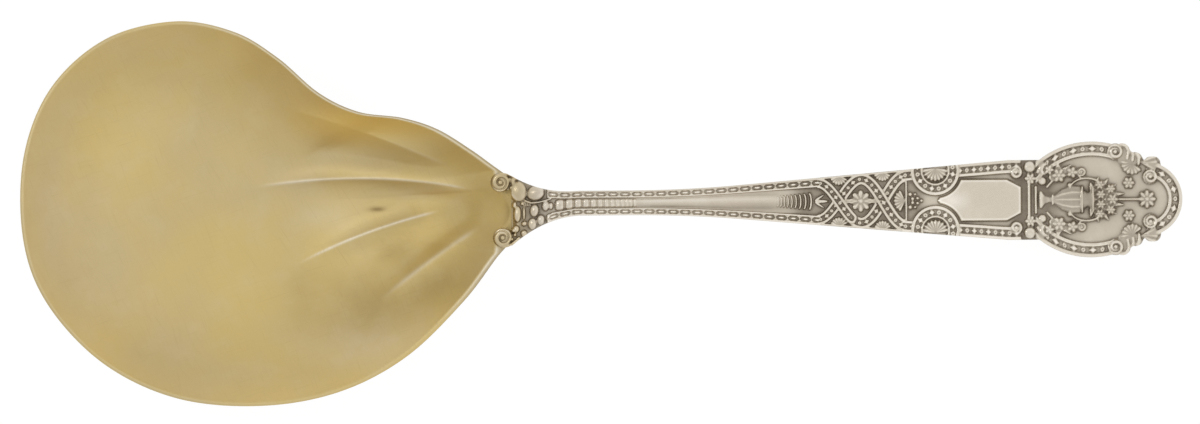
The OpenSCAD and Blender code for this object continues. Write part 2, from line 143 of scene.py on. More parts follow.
def linear(colour: Colour) -> tuple[float, float, float, float]:
    """Turns an sRGB colour of 0 to 255 into Blender's linear RGBA."""
    parts = [c / 255.0 for c in colour]
    light = [c / 12.92 if c <= 0.04045 else ((c + 0.055) / 1.055) ** 2.4 for c in parts]
    return (light[0], light[1], light[2], 1.0)


def put(name: str, data: bpy.types.ID) -> bpy.types.Object:
    """Makes an object from its mesh, lamp or camera and links it to the scene."""
    made = bpy.data.objects.new(name, data)
    bpy.context.scene.collection.objects.link(made)
    return made


class Graph:
    """Shader nodes of one material or of the world."""

    def __init__(self, owner: bpy.types.ID) -> None:
        """Gives the material or the world an empty tree of nodes."""
        owner.use_nodes = True
        self.tree = owner.node_tree
        self.tree.nodes.clear()

    def add(self, kind: str, inputs: dict[Any, Any] | None = None, **settings: Any) -> bpy.types.Node:
        """Adds a node.

        Args:
            kind: Blender's node type without the word ShaderNode.
            inputs: Values or sockets for the node's inputs, by name or place.
            settings: The node's own properties.

        Returns:
            The node.
        """
        node = self.tree.nodes.new("ShaderNode" + kind)
        for name, value in settings.items():
            setattr(node, name, value)
        for key, value in (inputs or {}).items():
            if isinstance(value, bpy.types.NodeSocket):
                self.tree.links.new(value, node.inputs[key])
            else:
                node.inputs[key].default_value = value
        return node

    def math(self, operation: str, a: Any, b: Any, clamp: bool = False) -> Socket:
        """Adds a Math node and returns its result."""
        return self.add("Math", {0: a, 1: b}, operation=operation, use_clamp=clamp).outputs[0]

    def times(self, a: Any, b: Any, clamp: bool = False) -> Socket:
        """Multiplies two values."""
        return self.math("MULTIPLY", a, b, clamp)

    def plus(self, a: Any, b: Any, clamp: bool = False) -> Socket:
        """Adds two values."""
        return self.math("ADD", a, b, clamp)

    def most(self, first: Any, *others: Any) -> Socket:
        """Keeps the largest of several values."""
        for other in others:
            first = self.math("MAXIMUM", first, other)
        return first

    def spread(self, value: Any, low: float, high: float, to_low: float, to_high: float) -> Socket:
        """Maps a value from one range to another and returns it."""
        keys = {"Value": value, "From Min": low, "From Max": high, "To Min": to_low, "To Max": to_high}
        return self.add("MapRange", keys).outputs["Result"]

    def mix(self, factor: Any, a: Any, b: Any) -> Socket:
        """Mixes two colours and returns the result."""
        return self.add("Mix", {0: factor, 6: a, 7: b}, data_type="RGBA").outputs[2]

    def noise(self, place: Any, scale: float, detail: float, rough: float = 0.55) -> Socket:
        """Adds a noise texture and returns its grey value."""
        keys = {"Vector": place, "Scale": scale, "Detail": detail, "Roughness": rough}
        return self.add("TexNoise", keys).outputs["Fac"]

    def drawn_out(self, place: Any, grain: Sequence[float], turn: float) -> Socket:
        """Turns coordinates about Z, then measures them in grains of the given size, and returns them."""
        keys = {"Vector": place, "Rotation": (0.0, 0.0, turn), "Scale": grain}
        return self.add("Mapping", keys, vector_type="TEXTURE").outputs["Vector"]

    def close(self, kind: str, shader: bpy.types.Node) -> None:
        """Ends the graph in its output node."""
        self.add(kind, {"Surface": shader.outputs[0]})


# Scales of the metal's noises per metre, and the scratches' grain in metres, turns in radians and depth
DRIFT_SCALE, CLOUD_SCALE, GRAIN_SCALE = 32.0, 170.0, 1500.0
SCRATCH_SIZE = (0.009, 0.00011, 0.004)
SCRATCH_TURNS = (0.3, -1.0, 1.9)
SCRATCH_DEPTH = 0.00003


@dataclass(frozen=True)
class MetalFinish:
    """A worked precious metal with fine scratches, tone drift and tarnish in its recesses, with painted shade
    and painted highlights laid over it from vertex values.
    """

    name: str  # Material name
    body: Colour  # Colour of the polished metal
    pale: Colour  # Colour of its most rubbed places
    warm: Colour  # Colour of its slightly toned places
    bright: Colour  # Colour of raised edges that are rubbed bright, also used for painted highlights and painted light
    tarnish_and_shade: Colour  # Colour of the dirt and tarnish in recesses, also used for painted shade
    other: Colour  # Colour of the second metal, where it shows through or runs over
    rough: float  # Roughness of the polished metal
    scratch: float  # Strength of the scratches in the bump

    def material(self) -> bpy.types.Material:
        """Builds the material.

        Returns:
            The material, which reads tone_and_light, tarnish with painted shade over 0 and rubbed bright or
            painted lighter under 0, and other_metal.
        """
        made = bpy.data.materials.new(self.name)
        g = Graph(made)
        place = g.add("TexCoord").outputs["Object"]
        tone_and_light, other = (g.add("Attribute", attribute_name=name).outputs["Fac"] for name in VERTEX_VALUES)
        drift = g.noise(place, DRIFT_SCALE, 3.0)
        cloud = g.noise(place, CLOUD_SCALE, 5.0, 0.6)
        grain = g.noise(place, GRAIN_SCALE, 3.0, 0.6)
        lines = g.most(*(g.noise(g.drawn_out(place, SCRATCH_SIZE, turn), 1.0, 2.0) for turn in SCRATCH_TURNS))
        lines = g.spread(lines, 0.62, 0.78, 0.0, 1.0)
        # Tarnish in recesses together with the painted shade that the vertex values carry
        dirt_and_shade = g.times(tone_and_light, g.spread(cloud, 0.3, 0.7, 1.15, 0.85), clamp=True)
        coats = (
            (g.spread(drift, 0.36, 0.64, 0.0, 1.0), self.warm),
            (g.spread(cloud, 0.5, 0.75, 0.0, 0.35), self.pale),
            (g.spread(grain, 0.42, 0.75, 0.0, 0.16), self.pale),
            (g.times(other, g.spread(cloud, 0.3, 0.6, 0.75, 1.0)), self.other),
            (g.times(lines, 0.12), self.tarnish_and_shade),
            # Rubbed-bright crests together with painted highlights and painted light
            (g.times(tone_and_light, -1.0, clamp=True), self.bright),
            (dirt_and_shade, self.tarnish_and_shade),
        )
        tone = linear(self.body)
        for share, colour in coats:
            tone = g.mix(share, tone, linear(colour))
        sheen = g.plus(g.spread(drift, 0.3, 0.7, -0.03, 0.05), g.spread(grain, 0.3, 0.7, -0.02, 0.03))
        sheen = g.plus(sheen, g.times(lines, 0.12))
        rough = g.plus(g.times(dirt_and_shade, 0.3), g.plus(sheen, self.rough), clamp=True)
        relief = g.plus(g.times(lines, -1.0), g.times(grain, 0.12))
        bump = g.add("Bump", {"Strength": self.scratch, "Distance": SCRATCH_DEPTH, "Height": relief})
        g.close("OutputMaterial", g.add("BsdfPrincipled", {
            "Base Color": tone, "Roughness": rough, "Normal": bump.outputs["Normal"], "Metallic": 1.0,
        }))
        return made


GILT_TONE = (196, 177, 132)
SILVER_TONE = (208, 199, 183)
# Colour of rubbed crests, which also serves as a painted highlight
BRIGHT_TONE = (248, 242, 231)
GILT = MetalFinish(
    name="gilt_wash", body=GILT_TONE, pale=(205, 189, 148), warm=(206, 183, 122), bright=(246, 224, 156),
    tarnish_and_shade=(142, 122, 84), other=(226, 219, 202), rough=0.42, scratch=0.25,
)
SILVER = MetalFinish(
    name="struck_silver", body=SILVER_TONE, pale=(222, 214, 200), warm=(201, 190, 173), bright=BRIGHT_TONE,
    tarnish_and_shade=(114, 104, 90), other=(198, 178, 130), rough=0.25, scratch=0.25,
)
PLAIN_SILVER = MetalFinish(
    name="plain_silver", body=SILVER_TONE, pale=(220, 213, 200), warm=(200, 190, 174), bright=BRIGHT_TONE,
    tarnish_and_shade=(128, 119, 106), other=GILT_TONE, rough=0.22, scratch=0.35,
)
SOLDER = MetalFinish(
    name="hard_solder", body=(186, 181, 169), pale=(204, 199, 188), warm=(170, 164, 152), bright=BRIGHT_TONE,
    tarnish_and_shade=(110, 104, 94), other=SILVER_TONE, rough=0.42, scratch=0.5,
)


@dataclass
class SpoonLine:
    """Side line that the rim, the heel and the lap between bowl and handle share."""

    heel_x: float  # Place of the heel line
    rim_height: float = 15.2  # Height of the rim over the level part of the bowl
    heel_angle: float = 9.0  # Angle at which the heel leaves the bowl
    lift_run: float = 42.0  # Distance before the heel at which the rim starts to rise
    land_run: float = 3.4  # Distance before the heel from which it runs straight
    lap_t: float = 1.4  # Thickness of the bowl's tongue under the handle
    tongue_l: float = 8.0  # Length of that tongue
    tongue_knot: float = 0.4  # Share of that length at which its outline has another knot
    tongue_bulge: float = 0.125  # How far the outline swells past its last knot, as a share of their step
    solder_t: float = 0.15  # Thickness of the solder film
    fan_gap: float = 1.3  # Step from the heel line back to the fan's front edge

    def __post_init__(self) -> None:
        """Works out the places along the line."""
        self.slope = math.tan(math.radians(self.heel_angle))
        self.lift_x = self.heel_x - self.lift_run
        self.land_x = self.heel_x - self.land_run
        self.fan_front = self.heel_x + self.fan_gap
        self.tongue_x = self.heel_x + self.tongue_l
        self.tongue_mid = self.heel_x + self.tongue_knot * self.tongue_l
        bulge = self.tongue_bulge * (self.tongue_x - self.tongue_mid)
        self.foot_x = self.tongue_x + bulge + self.solder_t

    def rim_z(self, x: Array) -> Array:
        """Height of the rim and of the lap plane at x."""
        bend = np.clip(x, self.lift_x, self.land_x) - self.lift_x
        rise = bend * bend / (2.0 * (self.land_x - self.lift_x))
        return self.rim_height + self.slope * (rise + np.maximum(0.0, x - self.land_x))


@dataclass
class HandlePlan:
    """Outline and side profile of the handle, in millimetres."""

    line: SpoonLine  # The spoon's side line
    end_x: float  # Place of the handle's end
    stem_w: float = 5.0  # Narrowest width of the stem
    stem_t: float = 3.7  # Thickness of the stem over its rails
    neck_w: float = 16.1  # Width at the neck below the head
    fan_w: float = 16.2  # Width of the fan at the heel
    fan_l: float = 15.0  # Length of the fan's flare
    fan_shift: float = 1.6  # Sideways shift of the fan
    shift_curve: float = 1.2  # Exponent of that shift along the flare
    flare_curve: float = 2.2  # Exponent of the flare's width
    head_w: float = 23.4  # Width of the head
    head_t: float = 2.8  # Thickness of the head over its rails
    shield_r: float = 17.2  # Radius of the head's side arcs
    shield_l: float = 18.5  # Length from the middle of the head to the end
    lobe_d: float = 15.0  # Diameter of the end lobe
    head_l: float = 32.4  # Length of the head with its neck
    rail_h: float = 0.7  # Height of the rails over the sunken field
    end_slope: float = 0.16  # Slope of the back at the handle's end
    back_edge: float = 1.1  # How far the rounded back rises to its sides
    taper_start: float = 25.5  # Distance of the stem's narrowest place from the heel line
    taper_blend: float = 22.0  # Length over which the taper sets in
    taper_end: float = 3.0  # Distance before the neck at which it ends
    scroll_step: float = 4.9  # Step of the head's side scrolls from its middle
    scroll_inset: float = 2.0  # Step of those scrolls in from the head's side
    scroll_r: float = 1.6  # Radius of those scrolls
    scroll_knob: float = 1.4  # Step from a scroll to the round behind it
    # Rounds beside the end lobe: step along from its middle, step out from its edge, and radius
    lobe_knobs: Rows = ((-2.1, 0.4, 1.6), (1.1, -0.3, 1.4), (1.7, -0.3, 1.4))

    def __post_init__(self) -> None:
        """Works out the places along the handle, counted back from its end."""
        self.neck_x = self.end_x - self.head_l
        self.shield_x = self.end_x - self.shield_l
        self.lobe_r = self.lobe_d / 2.0
        self.lobe_x = self.end_x - self.lobe_r
        x, y = self.shield_x + self.scroll_step, self.head_w / 2.0 - self.scroll_inset
        self.scroll = (x, y, self.scroll_r)
        self.knobs = [(x + self.scroll_knob, y, self.scroll_r)]
        self.knobs += [(self.lobe_x + dx, self.lobe_r + dy, r) for dx, dy, r in self.lobe_knobs]
        self.taper_x = self.line.heel_x + self.taper_start
        run = self.neck_x - self.taper_end - self.taper_x - self.taper_blend / 2.0
        self.taper_slope = (self.neck_w - self.stem_w) / 2.0 / run
        self.run = self.end_x - self.line.foot_x

    def flare(self, x: Array) -> Array:
        """Share of the fan's flare at x."""
        return clamp01((self.line.heel_x + self.fan_l - x) / self.fan_l)

    def axis_y(self, x: Array) -> Array:
        """Middle line of the handle seen from above."""
        return -self.fan_shift * self.flare(x) ** self.shift_curve

    def stem_half(self, x: Array) -> Array:
        """Half-width of the stem and the panel."""
        past = np.maximum(0.0, x - self.taper_x)
        bend = np.minimum(past, self.taper_blend)
        taper = self.taper_slope * (bend * bend / (2.0 * self.taper_blend) + np.maximum(0.0, past - bend))
        half = np.minimum(self.neck_w / 2.0, self.stem_w / 2.0 + taper)
        return half + (self.fan_w - self.stem_w) / 2.0 * self.flare(x) ** self.flare_curve

    @staticmethod
    def arc_half(x: Array, mid: float, r: float, y: float = 0.0) -> Array:
        """Half-width that a round of radius r about (mid, y) gives at x."""
        reach = r * r - (x - mid) ** 2
        return np.where(reach > 0.0, y + np.sqrt(np.maximum(reach, 0.0)), 0.0)

    def half(self, x: Array) -> Array:
        """Half-width of the whole handle."""
        x = np.asarray(x, float)
        stem = np.where(x <= self.shield_x, self.stem_half(x), 0.0)
        head = np.maximum.reduce([
            self.arc_half(x, self.shield_x, self.shield_r, self.head_w / 2.0 - self.shield_r),
            self.arc_half(x, self.lobe_x, self.lobe_r),
            *(self.arc_half(x, mid, r, y) for mid, y, r in (self.scroll, *self.knobs)),
        ])
        return np.where(x <= self.neck_x, stem, np.maximum(stem, head))

    def back_z(self, x: Array) -> Array:
        """Height of the middle of the back."""
        foot = self.line.rim_z(np.float64(self.line.foot_x)) - self.line.lap_t
        t = clamp01((x - self.line.foot_x) / self.run)
        bend = self.line.slope * t * (1.0 - t) ** 2 + self.end_slope * t * t * (1.0 - t)
        curve = foot * (1.0 - smooth(t)) + self.run * bend
        return np.where(x <= self.line.foot_x, self.line.rim_z(x) - self.line.lap_t, curve)

    def field_z(self, x: Array) -> Array:
        """Height of the sunken field between the rails."""
        thick = lerp(self.stem_t, self.head_t, step_up(x, self.line.foot_x, self.run))
        return self.back_z(x) + thick - self.rail_h


def make_piece(
    name: str,
    points: Array,
    faces: list[list[int]],
    materials: Iterable[bpy.types.Material],
    tone_and_light: Array,
    other: Array,
) -> bpy.types.Object:
    """Makes a smooth closed mesh from millimetres.

    Args:
        name: Name of the piece.
        points: Vertices in millimetres.
        faces: Vertex numbers of each face.
        materials: Material slots.
        tone_and_light: Tarnish and painted shade of each vertex, 0 to 1, or less than 0 where it is rubbed
            bright or painted lighter.
        other: Share of the second metal at each vertex, 0 to 1.

    Returns:
        The piece, linked to the scene.
    """
    mesh = bpy.data.meshes.new(name)
    mesh.from_pydata((points * MM).tolist(), [], faces)
    for material in materials:
        mesh.materials.append(material)
    for label, values in zip(VERTEX_VALUES, (tone_and_light, other)):
        layer = mesh.attributes.new(label, "FLOAT", "POINT")
        layer.data.foreach_set("value", np.asarray(values, np.float32))
    shell = bmesh.new()
    shell.from_mesh(mesh)
    bmesh.ops.recalc_face_normals(shell, faces=shell.faces)
    shell.to_mesh(mesh)
    shell.free()
    mesh.shade_smooth()
    return put(name, mesh)


@dataclass(frozen=True)
class Ridge:
    """A ridge between two flutes of the bowl, which fans out from the heel."""

    near: float  # Angle at its start, in degrees
    far: float  # Angle at its end
    start: float  # Distance of its start from the fan centre
    stop: float  # Distance of its end
    share: float  # Height as a share of the highest
    above: float  # Width of its upper flank
    below: float  # Width of its lower flank
    wear: float  # How far the gilding is rubbed off its crest
    wear_w: float  # Half-width of that rubbed line
    scoop: int = 0  # Side on which the sunken lobe lies, or 0


@dataclass
class Bowl:
    """The fluted kidney bowl: gilt inside and over the rim, plain silver outside."""

    line: SpoonLine  # The spoon's side line
    plan: HandlePlan  # The handle's plan, which sets the tongue's width
    length: float = 98.0  # Length from the tip to the heel line
    width: float = 77.7  # Width across both lobes
    wall: float = 1.2  # Thickness of the wall at the bottom
    rim_w: float = 0.5  # Width of the rounded edge around the rim
    heel_rim_w: float = 0.9  # Its width towards the heel
    rim_t: float = 1.0  # Thickness of the wall at the rim
    rim_drop: float = 0.3  # How far the rim's edge falls to the outside
    rest_d: float = 22.0  # Diameter of the flat spot underneath
    flute_h: float = 1.4  # Height of the ridges
    tongue_inset: float = 0.7  # Step from the fan's edge in to the tongue
    chamfer: float = 0.3  # Chamfer under the rim
    curve: float = 2.0  # Roundness of the section
    fullness: float = 0.7  # How much fuller the section is towards the heel
    fan_hollow: float = 3.2  # Depth of the hollow of the fan's front edge
    fan_reach: float = 7.2  # Distance from the axis at which that hollow ends
    # Rim outline in hundredths of the length and width, counter-clockwise
    shape: Rows = (
        (57.7, 9.5), (52.7, 14.1), (45.8, 19.5), (38.6, 22.5), (29.5, 24.2), (21.4, 29.2), (13, 38.4),
        (4, 45.2), (-8.1, 48), (-22.4, 43.5), (-33.7, 30.9), (-39.4, 13), (-39.6, -8.4), (-34.7, -25.2),
        (-23.4, -40.6), (-8.4, -49.8), (8.8, -52), (25, -48.6), (39, -39.6), (51, -25.2), (58.5, -13),
    )
    ridges: tuple[Ridge, ...] = (
        Ridge(29.6, 22.4, 15, 54, 0.6, 7, 6.5, 0.2, 0.3),
        Ridge(19, 3.6, 9, 57, 1, 6, 4.2, 0.6, 0.32, -1),
        Ridge(-2.4, -15.2, 15, 50, 0.6, 4.2, 5.5, 0.8, 0.28),
        Ridge(-27, -34.3, 8, 38, 0.66, 4.8, 5.2, 0.45, 0.45, 1),
    )
    fan_centre: Place = (3.2, -0.3)  # Where the ridges would meet, from the heel line
    ridge_bend: float = 0.75  # Exponent of their bend
    ridge_cusp: float = 2.1  # Exponent of their flanks
    ridge_rise: float = 9.0  # Length over which they rise
    ridge_fade: float = 18.0  # Length over which they run out
    scoop_h: float = 0.72  # Depth of the sunken lobe between the ridges that name a side of it
    scoop_x: float = 7.4  # Distance from the fan centre at which it starts
    scoop_edge: float = 3.2  # Width of its sloping edge
    scoop_soft: float = 0.9  # How softly its edges meet
    scoop_end: float = 34.0  # Distance from the fan centre at which it ends
    scoop_fade: float = 20.0  # Length over which it runs out
    # Wear, added wear towards the heel, and painted shade there of each ring of the lip, from its outer edge
    # in
    rim_wear: Rows = (
        (0.05, 0.45, 0.5), (0.05, 0.45, 0.5), (0.05, 0.45, 0.45), (0.05, 0.45, 0.3), (0.1, 0.5, 0.1),
        (0.15, 0.75, 0), (0.05, 0.4, 0),
    )
    land_painted_shade: float = 0.3  # Painted shade on the land in front of the fan
    # Soft patches: place, half-length, half-width, wear, and painted shade with some tarnish, where less than
    # 0 is painted light on the gold
    wear_and_shade_patches: Rows = (
        (32.5, -0.9, 1.6, 0.5, 0, 0.6), (23.5, -2.6, 6, 3.4, 0.2, 0), (-37, 0, 9, 24, 0.16, 0),
        (-8, 37, 24, 6, 0.2, 0), (17, 24, 10, 7, 0.3, -0.25), (38, 16.5, 15, 4, 0.14, -0.8),
        (36, -29, 16, 6, 0.28, 0), (5, -39, 26, 6, 0.12, 0), (-28, -24, 10, 10, 0.12, 0),
        (40.4, -1.8, 7, 4, 0, 0.2), (23, -17, 12, 7, 0, 0.17), (37.4, -19, 10, 6, 0, 0.17),
        (51.5, -9, 8, 3, 0, 0.08), (53, -1, 6, 9, 0, 0.15), (59.4, -1.5, 1, 4.5, 0, 0.35),
        (40, 10, 12, 4, 0, 0.08), (17, -18, 3, 7, 0, 0.1), (25, -25, 9, 3.5, 0, 0.12),
        (25, 17, 10, 5, 0.3, -0.5), (5, 33, 10, 6, 0.2, -0.28), (46, -15, 8, 5, 0, 0.25),
        (46, -6, 3, 3, 0, -0.15), (41.5, -10.5, 3, 3, 0, -0.2), (37, -15, 3, 3, 0, -0.1),
        (45.5, 1.8, 6, 2, 0.1, -0.25), (36.5, -9, 6, 3.5, 0, 0.26), (31, -21, 7, 5, 0, 0.13),
        (43, 3.2, 7, 1.8, 0.3, 0), (34, 8, 11, 2.5, 0, 0.1),
    )
    rim_painted_light: float = 0.18  # Painted light: how much brighter the gilding is painted along the rim of the lobes
    rim_painted_light_w: float = 4.0  # Width of that painted bright border
    heel_rays: float = 2.6  # Rim steps per millimetre on the heel side
    tip_rays: float = 1.1  # Rim steps per millimetre on the far side
    ray_change: float = 8.0  # Place that parts those two sides
    rest_rings: int = 12  # Rings over the flat spot
    inner_rings: int = 104  # Rings up the inside of the wall
    outer_rings: int = 44  # Rings down its outside
    eye: float = 0.06  # Radius of the first ring against the flat spot's
    full_ray: float = 38.0  # Length of a ray from which the section is at its roundest
    full_bend: float = 0.4  # Exponent of its roundness on shorter rays
    lean_bend: int = 4  # Exponent of its fullness around the heel
    heel_zone: float = 8.0  # Distance before the land within which the fan's front edge counts
    flute_end: int = 6  # Exponent with which the flutes run out at the rim
    ease_reach: float = 24.0  # Reach of the softening of the land's edge, in rays
    ease_run: float = 18.0  # Distance before the land at which that softening sets in
    ease_blend: float = 9.0  # Length over which it sets in
    lip_steps: tuple[float, ...] = (0.1, 0.3, 0.5, 0.7, 0.88, 1.0)  # Rings across the rounded edge
    lip_bend: float = 2.2  # Exponent of its fall
    edge_steps: tuple[float, ...] = (0.35, 0.7, 1.0)  # Rings down the outer edge
    heel_lean: float = 0.9  # Slant of the line at which the rim's wear sets in towards the heel
    heel_from: float = 20.0  # Place of that line
    heel_blend: float = 25.0  # Length over which the wear sets in

    def rim(self) -> Array:
        """Samples the closed rim outline with the tongue.

        Returns:
            Points as rows of x and y.
        """
        tongue_x = np.array([self.line.tongue_x, self.line.tongue_mid])
        tongue_y = self.plan.half(tongue_x) - self.tongue_inset
        axis = self.plan.axis_y(tongue_x)
        knots = np.vstack([
            np.column_stack([tongue_x, axis + tongue_y]),
            np.array(self.shape) * (self.length / 100.0, self.width / 100.0),
            np.column_stack([tongue_x, axis - tongue_y])[::-1],
        ])
        pieces = []
        for i in range(len(knots)):
            a, b, c, d = (knots[(i + k) % len(knots)] for k in (-1, 0, 1, 2))
            density = self.heel_rays if max(b[0], c[0]) > self.ray_change else self.tip_rays
            count = max(6, int(density * np.hypot(*(c - b))))
            t = (np.arange(count) / count)[:, None]
            cubic = 2 * a - 5 * b + 4 * c - d + t * (3 * b - a - 3 * c + d)
            pieces.append(b + t / 2 * (c - a + t * cubic))
        return np.vstack(pieces)

    def flute(self, q: Array) -> tuple[Array, Array]:
        """Ridges and the sunken lobe between them, over the plain bowl.

        Args:
            q: Points seen from above.

        Returns:
            Heights in millimetres, and the wear of the gilding on the crests from 0 to 1.
        """
        dx = self.line.heel_x + self.fan_centre[0] - q[..., 0]
        dy = q[..., 1] - self.fan_centre[1]
        rho = np.hypot(dx, dy)
        phi = np.degrees(np.arctan2(dy, dx))
        height, worn = np.zeros_like(rho), np.zeros_like(rho)
        within = np.exp((self.scoop_x - rho) / self.scoop_soft)
        for ridge in self.ridges:
            t = clamp01((rho - ridge.start) / (ridge.stop - ridge.start)) ** self.ridge_bend
            off = np.radians(phi - lerp(ridge.near, ridge.far, t)) * rho
            ends = step_up(rho, ridge.start, self.ridge_rise)
            ends = ends * step_down(rho, ridge.stop, self.ridge_fade)
            flank = np.abs(off) / np.where(off > 0.0, ridge.above, ridge.below)
            crest = np.maximum(0.0, 1.0 - flank) ** self.ridge_cusp
            height = np.maximum(height, ridge.share * ends * crest)
            rubbed = smooth(1.6 * ends) * np.exp(-(off / ridge.wear_w) ** 2)
            worn = np.maximum(worn, ridge.wear * rubbed)
            if ridge.scoop:
                within = within + np.exp(-ridge.scoop * off / self.scoop_soft)
        depth = smooth(-np.log(within) * self.scoop_soft / self.scoop_edge)
        depth = depth * step_down(rho, self.scoop_end, self.scoop_fade)
        return self.flute_h * height - self.scoop_h * depth, worn

    def section(self, p: Array, t: Array) -> Array:
        """Rise of the wall along a ray, as a share of its full height."""
        reach = np.hypot(p[:, 0], p[:, 1])
        lean = np.maximum(0.0, p[:, 0] / reach)
        round_part = self.curve * np.minimum(1.0, reach / self.full_ray) ** self.full_bend
        return t ** (round_part + self.fullness * lean ** self.lean_bend)

    def share(self, p: Array, inset: Array, front: float) -> Array:
        """Share of each ray at which the wall meets the rim."""
        reach = np.hypot(p[:, 0], p[:, 1])
        plain = 1.0 - inset / reach
        x = np.maximum(p[:, 0], self.line.land_x - self.heel_zone)
        y = p[:, 1] / x * front - self.plan.axis_y(np.float64(self.line.heel_x))
        bay = np.sin(0.5 * math.pi * clamp01(np.abs(y) / self.fan_reach)) ** 2
        return np.minimum(plain, (front - self.fan_hollow * bay) / x)

    def rings(self) -> tuple[list[Array], int, Array]:
        """Lays out the closed surface as rings of points.

        Returns:
            Rings from the inner middle to the outer middle, how many of them are gilt, and the share of the
            land in front of the fan on each ray.
        """
        p = self.rim()
        reach = np.hypot(p[:, 0], p[:, 1])
        edge_w = lerp(self.rim_w, self.heel_rim_w, step_up(p[:, 0], self.line.lift_x, self.line.lift_run))
        inner = self.share(p, edge_w, self.line.fan_front)
        outer = self.share(p, self.chamfer, self.line.fan_front + self.wall)
        land = clamp01((1.0 - outer) * reach - self.chamfer)
        rest_r = self.rest_d / 2.0
        rings = []

        def ring(q: Array, z: Array) -> None:
            """Keeps one ring."""
            rings.append(np.column_stack([q, np.broadcast_to(z, len(q))]))

        for t in np.linspace(self.eye, 1.0, self.rest_rings)[:-1]:
            q = p * (rest_r * t / reach)[:, None]
            ring(q, self.wall + self.flute(q)[0])
        inner_edge = p * inner[:, None]
        heel_side = step_up(p[:, 0], self.line.land_x - self.ease_run, self.ease_blend)
        eased = lerp(inner * reach, ease(inner * reach, self.ease_reach), heel_side)
        for t in np.linspace(0.0, 1.0, self.inner_rings + 1):
            q = p * (lerp(rest_r, lerp(eased, inner * reach, t ** 4), t) / reach)[:, None]
            rise = lerp(self.wall, self.line.rim_z(inner_edge[:, 0]), self.section(p, t))
            ring(q, rise + self.flute(q)[0] * (1.0 - t ** self.flute_end))
        fall = self.rim_drop * (1.0 - land)
        for t in self.lip_steps:
            q = lerp(inner_edge, p, t)
            ring(q, self.line.rim_z(q[:, 0]) - fall * t ** self.lip_bend)
        gilt_rings = len(rings)
        lower = lerp(self.rim_t - self.chamfer, self.line.lap_t, land)
        for t in self.edge_steps:
            ring(p, self.line.rim_z(p[:, 0]) - lerp(fall, lower, t))
        outer_edge = p * outer[:, None]
        top = self.line.rim_z(outer_edge[:, 0]) - lerp(self.rim_t, self.line.lap_t, land)
        for t in np.linspace(1.0, 0.0, self.outer_rings + 1):
            q = p * (lerp(rest_r, outer * reach, t) / reach)[:, None]
            flute = self.flute(q)[0] * (1.0 - t ** self.flute_end) * smooth(4.0 * t)
            ring(q, top * self.section(p, t) + flute)
        ring(p * (0.5 * rest_r / reach)[:, None], np.float64(0.0))
        return rings, gilt_rings, land

    def surface(self, rings: list[Array], gilt_rings: int) -> tuple[Array, list[list[int]], list[int]]:
        """Joins the rings and closes them in the middle.

        Args:
            rings: Rings from the inner middle to the outer middle.
            gilt_rings: How many of them are gilt.

        Returns:
            Points, faces, and the material slot of each face.
        """
        count = len(rings[0])
        step = np.arange(count)
        after = np.roll(step, -1)
        quads = [
            np.column_stack([step, after, after + count, step + count]) + k * count
            for k in range(len(rings) - 1)
        ]
        points = np.vstack(rings + [np.array([[0.0, 0.0, self.wall], [0.0, 0.0, 0.0]])])
        middle = len(rings) * count
        last = middle - count
        faces = np.vstack(quads).tolist()
        faces += [[middle, after[i], step[i]] for i in range(count)]
        faces += [[middle + 1, last + step[i], last + after[i]] for i in range(count)]
        gilt_faces = (gilt_rings - 1) * count
        slots = [0] * gilt_faces + [1] * (len(quads) * count - gilt_faces) + [0] * count + [1] * count
        return points, faces, slots

    def wear(self, points: Array, gilt_rings: int, land: Array) -> tuple[Array, Array]:
        """Works out where the gilding is toned or painted with shade or light, and where it is rubbed off.

        Args:
            points: Points of the rings, then the two middles.
            gilt_rings: How many rings are gilt.
            land: Share of the land in front of the fan on each ray.

        Returns:
            Tarnish and painted shade of each point, less than 0 where painted light, and the share of silver
            that shows there.
        """
        count = len(land)
        gilt = gilt_rings * count
        worn = self.flute(points[:, :2])[1]
        rim = points[gilt - count:gilt]
        slant = rim[:, 0] + self.heel_lean * rim[:, 1]
        heel = step_up(slant, self.heel_from, self.heel_blend)
        tarnish_and_painted_light = np.zeros(len(points))
        # Patches of wear and of painted shade and light, with some tarnish
        for x, y, long, wide, wear, tarnish_and_shade in self.wear_and_shade_patches:
            near = np.exp(-((points[:, 0] - x) / long) ** 2 - ((points[:, 1] - y) / wide) ** 2)
            worn = np.maximum(worn, wear * near)
            tarnish_and_painted_light += tarnish_and_shade * near
        inner = points[:gilt, :2].reshape(gilt_rings, count, 2)
        inset = np.hypot(*np.moveaxis(inner - rim[:, :2], 2, 0)) / self.rim_painted_light_w
        # Painted light along the rim of the lobes, away from the heel
        tarnish_and_painted_light[:gilt] -= (self.rim_painted_light * (1.0 - heel) * np.exp(-inset ** 2)).ravel()
        # Wear on the lip's rings, with painted shade on its outer rings towards the heel and on the land
        # before the fan
        for k, (share, more, tarnish_and_shade) in enumerate(self.rim_wear, 1):
            first = gilt - k * count
            worn[first:first + count] = (share + more * heel) * (1.0 - land)
            tarnish_and_painted_light[first:first + count] = tarnish_and_shade * heel * (1.0 - land) + self.land_painted_shade * land
        worn[gilt:-2] = 0.0
        tarnish_and_painted_light[gilt:-2] = 0.0
        return tarnish_and_painted_light, worn

    def build(self) -> bpy.types.Object:
        """Makes and dresses the bowl.

        Returns:
            The bowl.
        """
        rings, gilt_rings, land = self.rings()
        points, faces, slots = self.surface(rings, gilt_rings)
        metals = (GILT.material(), PLAIN_SILVER.material())
        piece = make_piece("fluted_bowl", points, faces, metals, *self.wear(points, gilt_rings, land))
        piece.data.polygons.foreach_set("material_index", slots)
        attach(piece, "root")
        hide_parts("bowl")
        return piece


